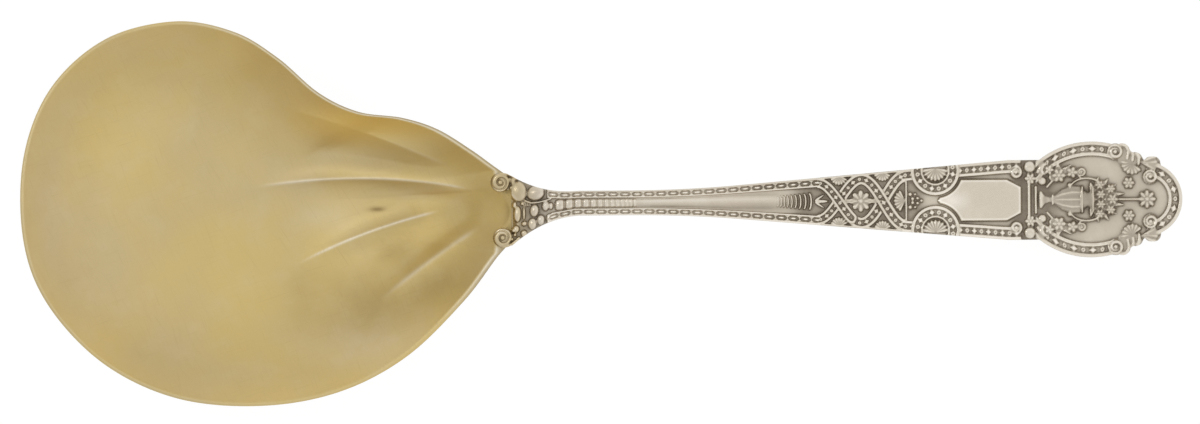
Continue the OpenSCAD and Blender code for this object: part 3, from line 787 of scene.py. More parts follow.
@dataclass(frozen=True)
class Ball:
    """A round, drawn-out or squarish boss."""

    long: float  # Half-length
    wide: float  # Half-width
    high: float  # Height
    power: float = 2.0  # Exponent of its outline, where 2 gives an oval

    @property
    def reach(self) -> float:
        """Furthest point from the middle."""
        return 1.2 * max(self.long, self.wide)

    def height(self, u: Array, w: Array) -> Array:
        """Height over the field."""
        away = np.abs(u / self.long) ** self.power + np.abs(w / self.wide) ** self.power
        return self.high * np.sqrt(clamp01(1.0 - away))


@dataclass(frozen=True)
class Scroll:
    """A volute that winds in to a round eye."""

    reach: float  # Radius
    turns: float  # Turns of its groove
    hand: int  # Way in which it winds, 1 or -1
    high: float  # Height
    start: float = 0.0  # Place at which its groove starts, in turns
    eye: float = 0.3  # Radius of the eye, as a share of its own
    cut: float = 0.6  # Depth of the groove, as a share of its height

    def height(self, u: Array, w: Array) -> Array:
        """Height over the field."""
        rho = np.hypot(u, w) / self.reach
        angle = self.hand * np.arctan2(w, u) / (2.0 * math.pi) + self.start
        phase = (rho * self.turns - angle) % 1.0
        wound = 1.0 - self.cut * np.exp(-((phase - 0.5) / 0.15) ** 2)
        dome = 1.1 * hump(rho / self.eye)
        moat = 1.0 - self.cut * (1.0 - step_up(rho, self.eye, 0.12))
        return self.high * np.maximum(wound * moat * hump(rho, 8.0), dome)


@dataclass(frozen=True)
class Leaf:
    """A leaf that grows from its foot along u, with side lobes and a groove."""

    reach: float  # Length
    wide: float  # Greatest half-width
    high: float  # Height
    lobes: int = 3  # Notches in each side

    def height(self, u: Array, w: Array) -> Array:
        """Height over the field."""
        t = clamp01(u / self.reach)
        lobe = 0.78 + 0.22 * np.abs(np.cos(self.lobes * math.pi * t))
        edge = self.wide * np.sin(math.pi * t ** 0.75) * lobe
        off = np.abs(w) / np.maximum(edge, 1e-6)
        vein = 0.72 + 0.28 * smooth(off / 0.3)
        return np.where((u > 0) & (u < self.reach), self.high * hump(off, 2.0) * vein, 0.0)


@dataclass(frozen=True)
class Shell:
    """A scallop that fans out from its hinge along u."""

    reach: float  # Length from the hinge
    spread: float  # Angle from its middle to its side, in radians
    ribs: int  # Number of ribs
    high: float  # Height

    def height(self, u: Array, w: Array) -> Array:
        """Height over the field."""
        rho = np.hypot(u, w)
        turn = np.arctan2(w, u) / self.spread
        rib = np.abs(np.cos(0.5 * math.pi * self.ribs * turn))
        edge = self.reach * (0.9 + 0.1 * rib)
        body = (0.58 + 0.42 * rib) * (rho / self.reach) ** 0.35 * hump(rho / edge, 5.0)
        return np.where(np.abs(turn) < 1.0, self.high * body, 0.0)


@dataclass(frozen=True)
class Rosette:
    """A round flower with a bead in its middle."""

    reach: float  # Radius
    petals: int  # Number of petals
    high: float  # Height of the bead

    def height(self, u: Array, w: Array) -> Array:
        """Height over the field."""
        rho = np.hypot(u, w)
        fold = np.abs(np.cos(0.5 * self.petals * np.arctan2(w, u)))
        edge = self.reach * (0.66 + 0.34 * fold ** 0.6)
        petal = (0.55 + 0.3 * fold) * hump(rho / edge, 3.0) * smooth(rho / (0.35 * self.reach))
        bead = np.sqrt(clamp01(1.0 - (rho / (0.32 * self.reach)) ** 2))
        return self.high * np.maximum(petal, bead)


Shape = Ball | Scroll | Leaf | Shell | Rosette


class Studs(Enum):
    """What stands in the channel of a border band."""

    CELLS = "lozenges between bars"
    ALTERNATE = "ring beads and lozenges in turn"


@dataclass
class Band:
    """A border band: an outer rail, a channel of studs and an inner rail."""

    rail: Array  # Width of the outer rail
    channel: Array  # Width of the channel
    inner: Array  # Width of the inner rail
    pitch: float  # Spacing of the studs
    high: float  # Height of the rails
    studs: Studs  # What stands in the channel
    floor: Array | float = 0.2  # Height of the channel's floor, as a share of the rails' height
    cell_gleam: float = 0.95  # How bright the tops of the studs in a row of cells are painted: a painted highlight on rubbed tops
    bead_gleam: float = 0.36  # The same on beads and lozenges in turn
    rail_gleam: float = 0.22  # How bright the crest of the inner rail is painted: a painted highlight on its rubbed crest
    pocket_dark: float = 0.42  # Tarnish around the studs of a row of cells
    hole: float = 0.36  # Radius of the hole in a ring bead, as a share of its own
    hole_dark: float = 0.9  # Tarnish in that hole

    def cell(self, s: Array, n: Array) -> tuple[Array, Array, Array, Array]:
        """Measures places against the studs and the inner rail.

        Args:
            s: Distance along the band.
            n: Distance in from its outer edge.

        Returns:
            Places along and across a stud's cell from -1 to 1, the cell's number, and the place across the
            inner rail from -1 to 1.
        """
        v = (n - self.rail - self.channel / 2.0) / (self.channel / 2.0)
        w = (n - self.rail - self.channel - self.inner / 2.0) / (self.inner / 2.0)
        count = np.floor(s / self.pitch)
        return 2.0 * (s / self.pitch - count) - 1.0, v, count, w

    @staticmethod
    def from_cell(u: Array, v: Array) -> Array:
        """Distance from the middle of a cell, which is 1 on the edge of its rounded pocket."""
        return (np.abs(u) / 0.9) ** 2.2 + np.abs(v) ** 2.2

    def from_bead(self, u: Array, v: Array) -> Array:
        """Distance from the middle of a ring bead, as a share of its radius."""
        return np.hypot(u * self.pitch, v * self.channel) / (0.9 * self.channel)

    def height(self, s: Array, n: Array) -> Array:
        """Height over the field, at a distance along the band and a distance in from its outer edge."""
        u, v, count, w = self.cell(s, n)
        mid = self.rail / 2.0
        outer = hump(np.where(n < mid, (n - mid) / (1.7 * mid), (n - mid) / mid), 2.6)
        inside = hump(w, 2.6)
        if self.studs is Studs.CELLS:
            bar = 0.85 * step_up(self.from_cell(u, v), 0.75, 0.5)
            stud = np.maximum(0.66 * np.sqrt(clamp01(1.0 - (u / 0.5) ** 2 - (v / 0.7) ** 2)), bar)
        else:
            rho = self.from_bead(u, v)
            ring = hump(rho) - 0.6 * np.exp(-(rho / self.hole) ** 2)
            lozenge = hump(np.abs(u) / 1.05 + 0.82 * np.abs(v))
            stud = np.where(count % 2 == 0, np.maximum(ring, 0.0), lozenge)
            inside = inside * (1.0 - 0.3 * np.exp(-(w / 0.2) ** 2))
        level = np.where(np.abs(v) < 1.0, np.maximum(self.floor, 0.95 * stud), 0.0)
        return self.high * np.maximum.reduce([outer, inside, level])

    def tone(self, s: Array, n: Array) -> Array:
        """Tarnish at the same places, which is less than 0 where the studs' tops and the rail's crest are
        rubbed bright and carry a painted highlight.
        """
        u, v, count, w = self.cell(s, n)
        top = smooth(1.4 - (u / 0.42) ** 2 - (v / 0.56) ** 2)
        if self.studs is Studs.CELLS:
            pocket = step_down(self.from_cell(u, v), 1.0, 0.4) * (1.0 - top)
            studs = self.pocket_dark * pocket - self.cell_gleam * top
        else:
            hole = np.where(count % 2 == 0, np.exp(-(self.from_bead(u, v) / self.hole) ** 2), 0.0)
            studs = self.hole_dark * hole - self.bead_gleam * top
        return studs - self.rail_gleam * hump(w)


def moved(points: Rows, x: float, v: float = 0.0) -> list[Place]:
    """Shifts points along and across the handle."""
    return [(x + dx, v + dv) for dx, dv in points]


def follow(line: Array, xs: Array, vs: Array) -> tuple[Array, Array, Array]:
    """Measures cells against a bent line.

    Args:
        line: Points of the line.
        xs: Places along the handle.
        vs: Places across it.

    Returns:
        Distance to the line, distance along it, and signed distance across it.
    """
    shape = np.broadcast(xs, vs).shape
    near, along, across = np.full(shape, np.inf), np.zeros(shape), np.zeros(shape)
    start = 0.0
    for a, b in zip(line[:-1], line[1:]):
        span = np.hypot(*(b - a))
        ux, uv = (b - a) / span
        t = np.clip((xs - a[0]) * ux + (vs - a[1]) * uv, 0.0, span)
        dx, dv = xs - a[0] - t * ux, vs - a[1] - t * uv
        far = np.hypot(dx, dv)
        closer = far < near
        near = np.where(closer, far, near)
        along = np.where(closer, start + t, along)
        across = np.where(closer, far * np.sign(ux * dv - uv * dx), across)
        start += span
    return near, along, across


class Die:
    """Maps of the struck face: height over its sunken field in millimetres, stains with painted light and
    shade, ground and gilding.
    """

    def __init__(self, x0: float, x1: float, half: float, pitch: float = 0.05) -> None:
        """Lays out an empty map.

        Args:
            x0: First place along the handle.
            x1: Last place along the handle.
            half: Reach to either side of the handle's axis.
            pitch: Size of a cell.
        """
        self.pitch = pitch
        self.xs = np.arange(x0, x1 + pitch, pitch)
        self.vs = np.arange(-half, half + pitch, pitch)
        self.height = np.zeros((len(self.xs), len(self.vs)))
        self.stain, self.ground, self.gilding = (np.zeros_like(self.height) for _ in range(3))

    def window(self, x0: float, x1: float, half: float, mid: float = 0.0) -> tuple[Window, Array, Array]:
        """Picks a rectangle of the map.

        Args:
            x0: Its first place along the handle.
            x1: Its last place along the handle.
            half: Half of its width.
            mid: Its middle across the handle.

        Returns:
            The rectangle's slices, and its places along and across as arrays.
        """
        i0, i1 = np.searchsorted(self.xs, (x0, x1))
        j0, j1 = np.searchsorted(self.vs, (mid - half, mid + half))
        return np.s_[i0:i1, j0:j1], self.xs[i0:i1, None], self.vs[None, j0:j1]

    def lift(self, part: Window, height: Array) -> None:
        """Raises a rectangle to at least the given heights, where these are over 0."""
        self.height[part] = np.where(height > 0.0, np.maximum(self.height[part], height), self.height[part])

    def cut(self, part: Window, own: Array, level: float = 0.0) -> None:
        """Cuts the ground of a rectangle down to a level, where own is true."""
        self.height[part] = np.where(own, np.minimum(self.height[part], level), self.height[part])

    def border(self, part: Window, band: Band, s: Array, n: Array, own: Array | bool = True) -> None:
        """Strikes a border band, with its tarnish and painted highlights.

        Args:
            part: Slices of its rectangle.
            band: The band.
            s: Distance along it.
            n: Distance in from its outer edge.
            own: Where it lies.
        """
        self.lift(part, np.where(own, band.height(s, n), 0.0))
        self.stain[part] += np.where(own, band.tone(s, n), 0.0)

    def strike(
        self, x: float, v: float, shape: Shape, turn: float = 0.0, side: int = 1, clear: float | None = None
    ) -> None:
        """Strikes an ornament.

        Args:
            x: Place along the handle.
            v: Place across it, before the mirror.
            shape: The ornament.
            turn: Its direction in degrees, before the mirror.
            side: 1, or -1 for the mirrored place.
            clear: Height to which the ground around it is cut down first, where it is given.
        """
        r = 1.05 * shape.reach
        part, xs, vs = self.window(x - r, x + r, r, side * v)
        c, s = math.cos(math.radians(turn)), math.sin(math.radians(turn))
        du, dv = xs - x, side * vs - v
        if clear is not None:
            self.cut(part, np.hypot(du, dv) < r, clear)
        self.lift(part, shape.height(c * du + s * dv, c * dv - s * du))

    def both(self, x: float, v: float, shape: Shape, turn: float = 0.0, clear: float | None = None) -> None:
        """Strikes an ornament on both sides of the axis."""
        for side in SIDES:
            self.strike(x, v, shape, turn, side, clear)

    def rail(self, points: Iterable[Place], widths: Place, high: float, sides: Sequence[int] = (1,)) -> None:
        """Strikes a rail along a bent line.

        Args:
            points: Places along the line, before the mirror.
            widths: Width at its start and at its end.
            high: Height of the rail.
            sides: 1, and -1 for the mirrored line.
        """
        for side in sides:
            line = np.array(list(points)) * (1.0, side)
            part, xs, vs = self.beside(line, max(widths))
            near, along, _ = follow(line, xs, vs)
            wide = lerp(*widths, along / along.max())
            self.lift(part, high * hump(near / (wide / 2.0), 3.0))

    def bar(self, x: float, half: float, wide: float, high: float) -> None:
        """Strikes a straight bar across the axis."""
        self.rail([(x, -half), (x, half)], (wide, wide), high)

    def beside(self, line: Array, room: float) -> tuple[Window, Array, Array]:
        """Picks the rectangle around a line, with room on all sides."""
        low, top = line.min(0) - room, line.max(0) + room
        return self.window(low[0], top[0], (top[1] - low[1]) / 2.0, (top[1] + low[1]) / 2.0)

    def sample(self, x: Array, v: Array, values: Array) -> Array:
        """Reads a map between its cells.

        Args:
            x: Places along the handle.
            v: Places across it.
            values: The height map or another map of its size.

        Returns:
            The values there.
        """
        i = np.clip((x - self.xs[0]) / self.pitch, 0, len(self.xs) - 1.001)
        j = np.clip((v - self.vs[0]) / self.pitch, 0, len(self.vs) - 1.001)
        i0, j0 = i.astype(int), j.astype(int)
        a, b = i - i0, j - j0
        top = lerp(values[i0, j0], values[i0, j0 + 1], b)
        return lerp(top, lerp(values[i0 + 1, j0], values[i0 + 1, j0 + 1], b), a)


@dataclass
class Pattern:
    """The ornament that a die strikes into the handle's face: fan, stem, panel, neck and head.

    The strike methods place each ornament by steps in millimetres from the place that they name.
    """

    line: SpoonLine  # The spoon's side line
    plan: HandlePlan  # The handle's outline and side profile
    arch_r: float = 5.0  # Outer radius of the half-round arches
    arch_in: float = 2.6  # Radius inside the arches' inner ring
    arch_studs: float = 3.64  # Radius of the circle of studs in the arches
    arch_step: float = 0.94  # Step from the cartouche to their centres, in outer radii
    arch_inset: float = 0.8  # Step of their centres in from the edge
    bar_gap: float = 0.9  # Gap between the arches and the bar before them
    strap_gap: float = 0.4  # Gap between that bar and the straps
    cartouche_l: float = 13.1  # Length of the plain cartouche
    cartouche_w: float = 8.7  # Width of the cartouche
    cartouche_cant: Place = (3.0, 1.6)  # Length and depth of its canted corners
    strap_l: float = 17.6  # Length of the crossed straps
    volute_r: float = 1.95  # Radius of the volutes at the heel
    bay_w: float = 4.0  # Half-width of the fan's thin front edge between them
    # Place of each volute from the heel line and from the handle's axis
    volutes: Rows = ((-0.9, 5.9), (-0.5, 5.25))
    # Petals and balls of the fan: step from its front edge, place across, half-length, half-width and turn
    # in degrees
    bosses: Rows = (
        (1.42, 3.69, 1.98, 1.49, 115), (4.89, 2.9, 1.63, 1.35, 170), (0.69, 1.09, 0.42, 0.64, 0),
        (1.25, -0.82, 0.7, 1.5, 0), (2.55, -0.85, 0.3, 1.25, 0), (0.94, -3.83, 0.64, 0.7, 0),
        (4.65, -0.55, 0.85, 1.2, 0), (6.92, 0.17, 0.7, 1.0, 0), (7.99, -0.02, 0.45, 0.7, 0),
        (4.21, -3.11, 0.85, 1.05, 0), (5.91, -2.54, 0.78, 0.92, 0), (7.54, -2.45, 0.5, 0.85, 0),
        (2.49, -4.81, 0.6, 0.6, 0), (2.25, 1.17, 0.4, 0.4, 0), (0.3, 6.1, 0.6, 0.6, 0),
        (2.6, -2.9, 0.55, 0.5, 0),
    )
    # First step, first pitch, shrink and last pitch of the row of beads behind them
    beads: tuple[float, float, float, float] = (9.76, 1.91, 0.92, 0.66)
    upper_rail_shade: float = 0.16  # Painted shade on the outer rail on one side
    lower_rail_light: float = -0.3  # Painted light on it on the other side, where less than 0 is brighter
    cell_pitch: float = 2.42  # Spacing of the studs on the stem
    bead_pitch: float = 1.43  # Spacing of the studs on the panel
    head_pitch: float = 1.95  # Spacing of the studs on the head
    lobe_pitch: float = 1.9  # Spacing of the studs on its end lobe
    lobe_studs: float = 5.8  # Radius of the circle of those studs
    strap_knots: int = 48  # Steps of a strap's middle line
    soft_reach: float = 0.9  # Reach of the wear that rounds all edges, in cells of the die
    close_reach: float = 7.0  # Reach within which a recess counts as narrow
    wide_reach: float = 20.0  # Reach within which it counts as wide
    close_dark: float = 0.5  # Tarnish of narrow recesses
    wide_dark: float = 0.4  # Tarnish of wide recesses
    wall_painted_shade: float = 0.32  # Painted shade on steep low walls
    most_dark: float = 0.85  # Most tarnish on silver
    gilt_dark: float = 0.25  # How much less that is on gilding
    stem_clean: float = 0.55  # Share of the tarnish that handling takes off the stem
    gilt_clean: float = 0.6  # Share of it that gilding keeps off
    bay_clean: float = 0.75  # Share of it that stays off the fan's thin front edge
    face_tone: float = 0.32  # Tone of the broad raised faces towards the head
    crest_gleam: float = 0.3  # How bright the crests are rubbed, which also serves as their painted highlight

    def __post_init__(self) -> None:
        """Works out the places of the ornament."""
        p = self.plan
        self.cartouche_x = p.neck_x - self.cartouche_l
        self.arch_x = self.cartouche_x - self.arch_step * self.arch_r
        self.arch_v = float(p.stem_half(np.float64(self.arch_x))) - self.arch_inset
        self.bar_x = self.arch_x - self.arch_r - self.bar_gap
        self.strap_x = self.bar_x - self.strap_gap - self.strap_l
        self.die = Die(self.line.heel_x - 2.0 * self.volute_r, p.end_x + 0.2, p.head_w / 2.0 + 0.6)

    def growth(self, x: Array) -> Array:
        """Half-width that the bands of stem and panel grow with."""
        return np.minimum(self.plan.stem_half(x), 8.0)

    def bay(self, v: Array) -> Array:
        """Share of the fan's thin front edge, across the handle."""
        return 1.0 - step_up(np.abs(v), self.bay_w, 0.8)

    def edge(self, x0: float, x1: float, studs: Studs, pitch: float) -> None:
        """Strikes the border along both edges of the stem, whose widths grow with it.

        Args:
            x0: Where it starts.
            x1: Where it ends.
            studs: What stands in its channel.
            pitch: Spacing of the studs.
        """
        top = float(self.plan.stem_half(np.linspace(x0, x1, 50)).max())
        part, xs, vs = self.die.window(x0, x1, top + 0.3)
        half = self.plan.stem_half(xs)
        lean = np.hypot(1.0, np.gradient(half[:, 0], self.die.pitch))[:, None]
        inward = (half - np.abs(vs)) / lean
        w = self.growth(xs)
        floor = 0.32 - 0.15 * step_up(w, 3.0, 2.0)
        widths = (0.25 + 0.06 * w, 0.5 + 0.085 * w, 0.2 + 0.07 * w)
        band = Band(*widths, pitch, self.plan.rail_h, studs, floor)
        # Paints shade on the outer rail of the upper edge and light on that of the lower edge
        rail = clamp01(1.0 - np.abs(2.0 * inward / band.rail - 1.0))
        self.die.stain[part] += np.where(vs > 0.0, self.upper_rail_shade, self.lower_rail_light) * rail
        self.die.border(part, band, xs - x0, inward)

    def strike_fan(self) -> None:
        """Strikes the volutes, petals, balls and graduated beads of the fan."""
        die, p, front = self.die, self.plan, self.line.fan_front
        part, xs, vs = die.window(front - 0.2, front + 10.0, p.fan_w / 2.0)
        drop = p.stem_t - p.rail_h - self.line.lap_t - self.line.solder_t - 0.1
        die.height[part] -= drop * self.bay(vs) * (1.0 - step_up(xs, front, 1.3))
        die.ground[part] = 0.2 * step_up(xs, front, 1.5) * (1.0 - step_up(xs, front + 7.0, 3.0))
        part, xs, _ = die.window(die.xs[0], front + 10.0, p.fan_w / 2.0)
        die.gilding[part] = 0.8 * step_down(xs, front + 7.0, 7.5)
        die.stain[part] = 0.14 * step_down(xs, front + 9.0, 5.0) + 0.12 * step_down(xs, front + 0.8, 1.0)
        for dx, v, long, wide, turn in self.bosses:
            die.strike(front + dx, v, Ball(1.14 * long, 1.14 * wide, 0.5 + 0.4 * min(long, wide)), turn)
        # Steps along and across from a volute's middle, and from the fan's front edge for the stalks
        shoulder = ((0.1, 1.75), (1.5, 1.65), (2.5, 1.05), (3.3, 0.4))
        pearls = ((1.9, 0.5), (2.5, -0.3), (2.2, -1.2))
        upper_stalk = ((2.75, 1.68), (3.95, 1.07), (5.66, 1.03), (7.93, 1.4))
        lower_stalk = ((8.19, -1.53), (10.17, -1.39), (13.01, -1.16))
        for side, (dx, v) in zip(SIDES, self.volutes):
            x = self.line.heel_x + dx
            die.strike(x, v, Scroll(self.volute_r, 1.5, -1, 0.95, 0.4, 0.3, 0.4), 0.0, side)
            die.rail(moved(shoulder, x, v), (0.8, 0.6), 0.8, (side,))
            for place in moved(pearls, x, v):
                die.strike(*place, Ball(0.42, 0.42, 0.7), 0.0, side)
        for k in range(4):
            die.rail([(front + 2.35 + 0.4 * k, 1.5), (front + 2.6 + 0.4 * k, 0.55)], (0.26, 0.26), 0.5)
        for stalk, widths in ((upper_stalk, (0.5, 0.4)), (lower_stalk, (0.45, 0.4))):
            die.rail(moved(stalk, front), widths, 0.75)
        dx, gap, shrink, last = self.beads
        x = front + dx
        part, _, vs = die.window(x - 0.8, x + 14.0, 0.95)
        die.lift(part, 0.42 * hump(vs / 0.95))
        while gap > last:
            die.strike(x, 0.0, Ball(0.52 * gap, max(0.95, 0.6 * gap), 0.3 + 0.36 * gap, 3.5))
            x, gap = x + gap, shrink * gap
        self.bead_end = x

    def strike_stem(self) -> None:
        """Strikes the stem's border, its tongue moulding with painted light and shade on its flanks, and a
        husk that ends in a bellflower.
        """
        die, p = self.die, self.plan
        self.edge(self.line.fan_front + 7.2, self.strap_x + 0.6, Studs.CELLS, self.cell_pitch)
        x0, x1 = self.bead_end - 5.0, self.strap_x - 1.0
        part, xs, vs = die.window(x0, x1, p.neck_w / 2.0)
        w = p.stem_half(xs)
        half = np.minimum(np.maximum(0.3, w - 0.265 * w - 0.9), 0.2 * w + 0.85)
        swell = step_up(xs, x0, 9.0) * (1.0 - step_up(xs, x1 - 10.0, 10.0))
        bed = 0.5 * (np.abs(vs) < 0.735 * w - 0.6)
        die.lift(part, 0.62 * swell * np.maximum(hump(vs / half, 2.0), bed))
        # Painted shade on the moulding's lower flank and painted light on its upper flank
        painted_shade_flank = clamp01(1.0 - np.abs(vs / half + 0.65) / 0.6)
        painted_light_flank = clamp01(1.0 - np.abs(vs / half - 0.35) / 0.5)
        die.stain[part] += 0.34 * swell * (painted_shade_flank - 1.1 * painted_light_flank)
        part, xs, _ = die.window(x1 - 8.0, self.strap_x + 4.0, p.neck_w / 2.0)
        die.ground[part] = 0.4 * step_up(xs, x1 - 7.0, 6.0)
        x, gap = x1 - 7.0, 0.58
        while x < x1 - 0.6:
            wide = 0.45 + 0.95 * gap
            bend = [(x + 0.35 * gap * math.cos(a), wide * math.sin(a)) for a in np.linspace(-1.4, 1.4, 9)]
            die.rail(bend, (0.42 * gap, 0.42 * gap), 0.5 + 0.4 * gap)
            x, gap = x + gap, 1.09 * gap
        bells = ((0, 2.9), (32, 2.5))  # Turn in degrees and length of each leaf
        for turn, size in bells:
            die.both(x - 0.1, 0.1, Leaf(size, 0.34, 0.75, 1), turn)

    def strike_strap(self, side: int, first: float = 0.0, last: float = 1.0, over: bool = False) -> None:
        """Strikes a stretch of one of the two crossed straps.

        Args:
            side: Which of the two straps.
            first: Share of its length where the stretch starts.
            last: Share of its length where it ends.
            over: Whether it passes over the other strap.
        """
        t = np.linspace(0.0, 1.0, self.strap_knots + 1)
        x = self.strap_x + self.strap_l * t
        away = self.plan.stem_half(x) - (0.8 + 0.26 * self.growth(x)) / 2.0
        line = np.column_stack([x, side * away * np.cos(2.0 * math.pi * t)])
        whole = np.concatenate([[0.0], np.cumsum(np.hypot(*np.diff(line, axis=0).T))])
        i, j = int(first * self.strap_knots), int(last * self.strap_knots)
        piece = line[i:j + 1]
        part, xs, vs = self.die.beside(piece, 1.6)
        near, along, across = follow(piece, xs, vs)
        w = self.growth(xs)
        wide = 0.8 + 0.26 * w
        widths = (0.1 + 0.09 * w, 0.45 + 0.09 * w, 0.25 + 0.08 * w)
        band = Band(*widths, self.bead_pitch, self.plan.rail_h, Studs.ALTERNATE)
        own = (near < wide / 2.0 + 0.12) & (along > 0.0) & (along < whole[j] - whole[i])
        if over:
            self.die.cut(part, own)
        self.die.lift(part, np.where(own, band.height(along + whole[i], across * side + wide / 2.0), 0.0))

    def strike_panel(self) -> None:
        """Strikes the crossed straps, the arches with their shells and the cartouche."""
        die, p = self.die, self.plan
        start = self.bar_x - self.bar_gap
        run = np.linspace(self.strap_x, start, 30)
        die.rail(np.column_stack([run, p.stem_half(run) - 0.22]), (0.44, 0.44), 0.6, SIDES)
        for side in SIDES:
            self.strike_strap(side)
        self.strike_strap(1, 0.1, 0.4, over=True)
        self.strike_strap(-1, 0.6, 0.9, over=True)
        middle = self.strap_x + self.strap_l / 2.0
        die.strike(middle, 0.0, Rosette(2.3, 8, 0.85))
        for turn in (0, 180):
            die.strike(middle, 0.0, Leaf(4.6, 0.7, 0.6, 3), turn)
        for x in (self.strap_x + 0.25 * self.strap_l, self.strap_x + 0.75 * self.strap_l):
            die.both(x, float(p.stem_half(np.float64(x))) - 0.15, Shell(1.9, 1.35, 7, 0.8), -90)
        for x0, x1 in ((start, self.arch_x), (self.arch_x, p.neck_x - 0.4)):
            self.edge(x0, x1, Studs.ALTERNATE, self.bead_pitch)
        inner = float(p.stem_half(np.float64(self.bar_x))) - 2.5
        die.bar(self.bar_x, inner, 0.5, 0.6)
        # Step along from the bar, place across and radius
        berries = ((0.8, 1.3, 0.5), (1.3, 0.4, 0.45), (1.8, 1.3, 0.35), (2.3, 0.5, 0.4), (3.1, 0.0, 0.4))
        for dx, v, r in berries:
            die.both(self.bar_x + dx, v, Ball(r, r, 0.75))
        die.strike(self.bar_x - 0.2, 0.0, Shell(2.5, 1.2, 7, 0.8), 180)
        part, xs, _ = die.window(self.strap_x, self.arch_x, p.neck_w / 2.0)
        die.ground[part] = 0.4 * step_down(xs, self.arch_x - 1.0, 3.0)
        for side in SIDES:
            self.strike_arch(side)
        self.strike_cartouche()
        die.both(p.neck_x - 1.4, p.neck_w / 2.0 - 2.45, Scroll(1.35, 1.4, 1, 0.85, 0.2))

    def strike_arch(self, side: int) -> None:
        """Strikes one half-round arch that opens to the edge, with a scallop in it."""
        die, r, mid = self.die, self.arch_r, side * self.arch_v
        part, xs, vs = die.window(self.arch_x - r, self.arch_x + r, r, mid)
        dx, dv = xs - self.arch_x, side * (vs - mid)
        rho = np.hypot(dx, dv)
        within = (rho < r) & (side * vs < self.plan.stem_half(xs) + 0.1)
        widths = (0.42, 1.2, r - self.arch_in - 1.62)
        band = Band(*widths, self.bead_pitch, self.plan.rail_h, Studs.ALTERNATE)
        along = self.arch_studs * np.arctan2(dx, -dv) + 10.0 * self.bead_pitch
        die.cut(part, within)
        die.stain[part] = np.where(within, 0.0, die.stain[part])
        die.border(part, band, along, rho - self.arch_in, within)
        die.strike(self.arch_x, self.arch_v + 0.5, Shell(2.75, 1.5, 9, 1.0), -90, side)

    def strike_cartouche(self) -> None:
        """Strikes the plain cartouche, whose tail runs out between the arches, and paints light over it."""
        x0, x1 = self.arch_x - 3.2, self.plan.neck_x - 0.2
        half = self.cartouche_w / 2.0
        long, deep = self.cartouche_cant
        part, xs, vs = self.die.window(x0, x1, half)
        side = half - np.abs(vs)
        away = np.hypot(xs - self.arch_x, self.arch_v - np.abs(vs)) - self.arch_r - 0.3
        cant = (deep * (x1 - xs) + long * side - long * deep) / math.hypot(long, deep)
        crown = 0.75 * (xs - self.cartouche_x + 0.4) + 0.66 * side + 0.2
        inside = np.minimum.reduce(np.broadcast_arrays(away, side, x1 - xs, cant, crown))
        self.die.lift(part, 0.62 * step_up(xs, x0, 1.4) * np.sqrt(smooth(inside / 0.5)))
        # A painted highlight near the cartouche's left end and painted light over its face
        painted_glint = 0.55 * np.exp(-((xs - self.cartouche_x + 1.6) / 2.6) ** 2 - (vs / 1.6) ** 2)
        self.die.stain[part] -= painted_glint + 0.34 * smooth(inside / 0.4)

    def strike_neck(self) -> None:
        """Strikes the bars, rosettes and balls of the neck, and tones the ground around them."""
        die, p, x0 = self.die, self.plan, self.plan.neck_x
        part, xs, _ = die.window(x0 - 3.0, x0 + 12.0, p.neck_w / 2.0)
        die.ground[part] = 0.8 * step_up(xs, x0 - 2.5, 2.0) * (1.0 - step_up(xs, x0 + 2.0, 8.0))
        part, xs, vs = die.window(x0 + 2.0, p.end_x, p.neck_w / 2.0)
        die.stain[part] += 0.22 * np.exp(-((xs - x0 - 14.0) / 12.0) ** 2 - (vs / 7.0) ** 2)
        neck_bars = ((1.2, 3.6, 0.75), (2.6, 2.6, 0.65))  # Step from the neck, half-length and width
        for dx, v, wide in neck_bars:
            die.bar(x0 + dx, v, wide, p.rail_h)
        # Step from the neck, place across and shape
        moulding = (
            (1.5, 4.3, Rosette(1.3, 6, 1.0)), (1.4, 6.6, Ball(1.3, 1.2, 1.05)),
            (4.2, 6.3, Ball(1.25, 1.45, 1.05)), (3.9, 3.8, Ball(0.95, 0.95, 0.9)),
            (5.7, 4.5, Ball(0.6, 0.6, 0.75)),
        )
        for dx, v, shape in moulding:
            die.both(x0 + dx, v, shape)

    def strike_head(self) -> None:
        """Strikes the bands around the head's shield and end lobe, with scrolls and shells between them."""
        die, p = self.die, self.plan
        drop = p.head_w / 2.0 - p.shield_r
        part, xs, vs = die.window(p.neck_x + 2.6, p.scroll[0] - 0.6, p.head_w / 2.0 + 0.3)
        inward = p.shield_r - np.hypot(xs - p.shield_x, np.abs(vs) - drop)
        along = p.shield_r * np.arcsin(np.clip((xs - p.shield_x) / p.shield_r, -1, 1)) + 30.0
        shield = Band(0.85, 1.2, 0.9, self.head_pitch, p.rail_h, Studs.ALTERNATE)
        die.border(part, shield, along, inward, np.abs(vs) > drop + 3.0)
        part, xs, vs = die.window(p.lobe_x - 0.6, p.end_x + 0.1, p.lobe_r + 0.1)
        angle = np.arctan2(vs, xs - p.lobe_x)
        inward = p.lobe_r - np.hypot(xs - p.lobe_x, vs)
        lobe = Band(0.85, 1.2, 0.85, self.lobe_pitch, p.rail_h, Studs.ALTERNATE)
        along = self.lobe_studs * angle + 40.5 * self.lobe_pitch
        die.border(part, lobe, along, inward, np.abs(angle) < math.radians(88))
        x, v, r = p.scroll
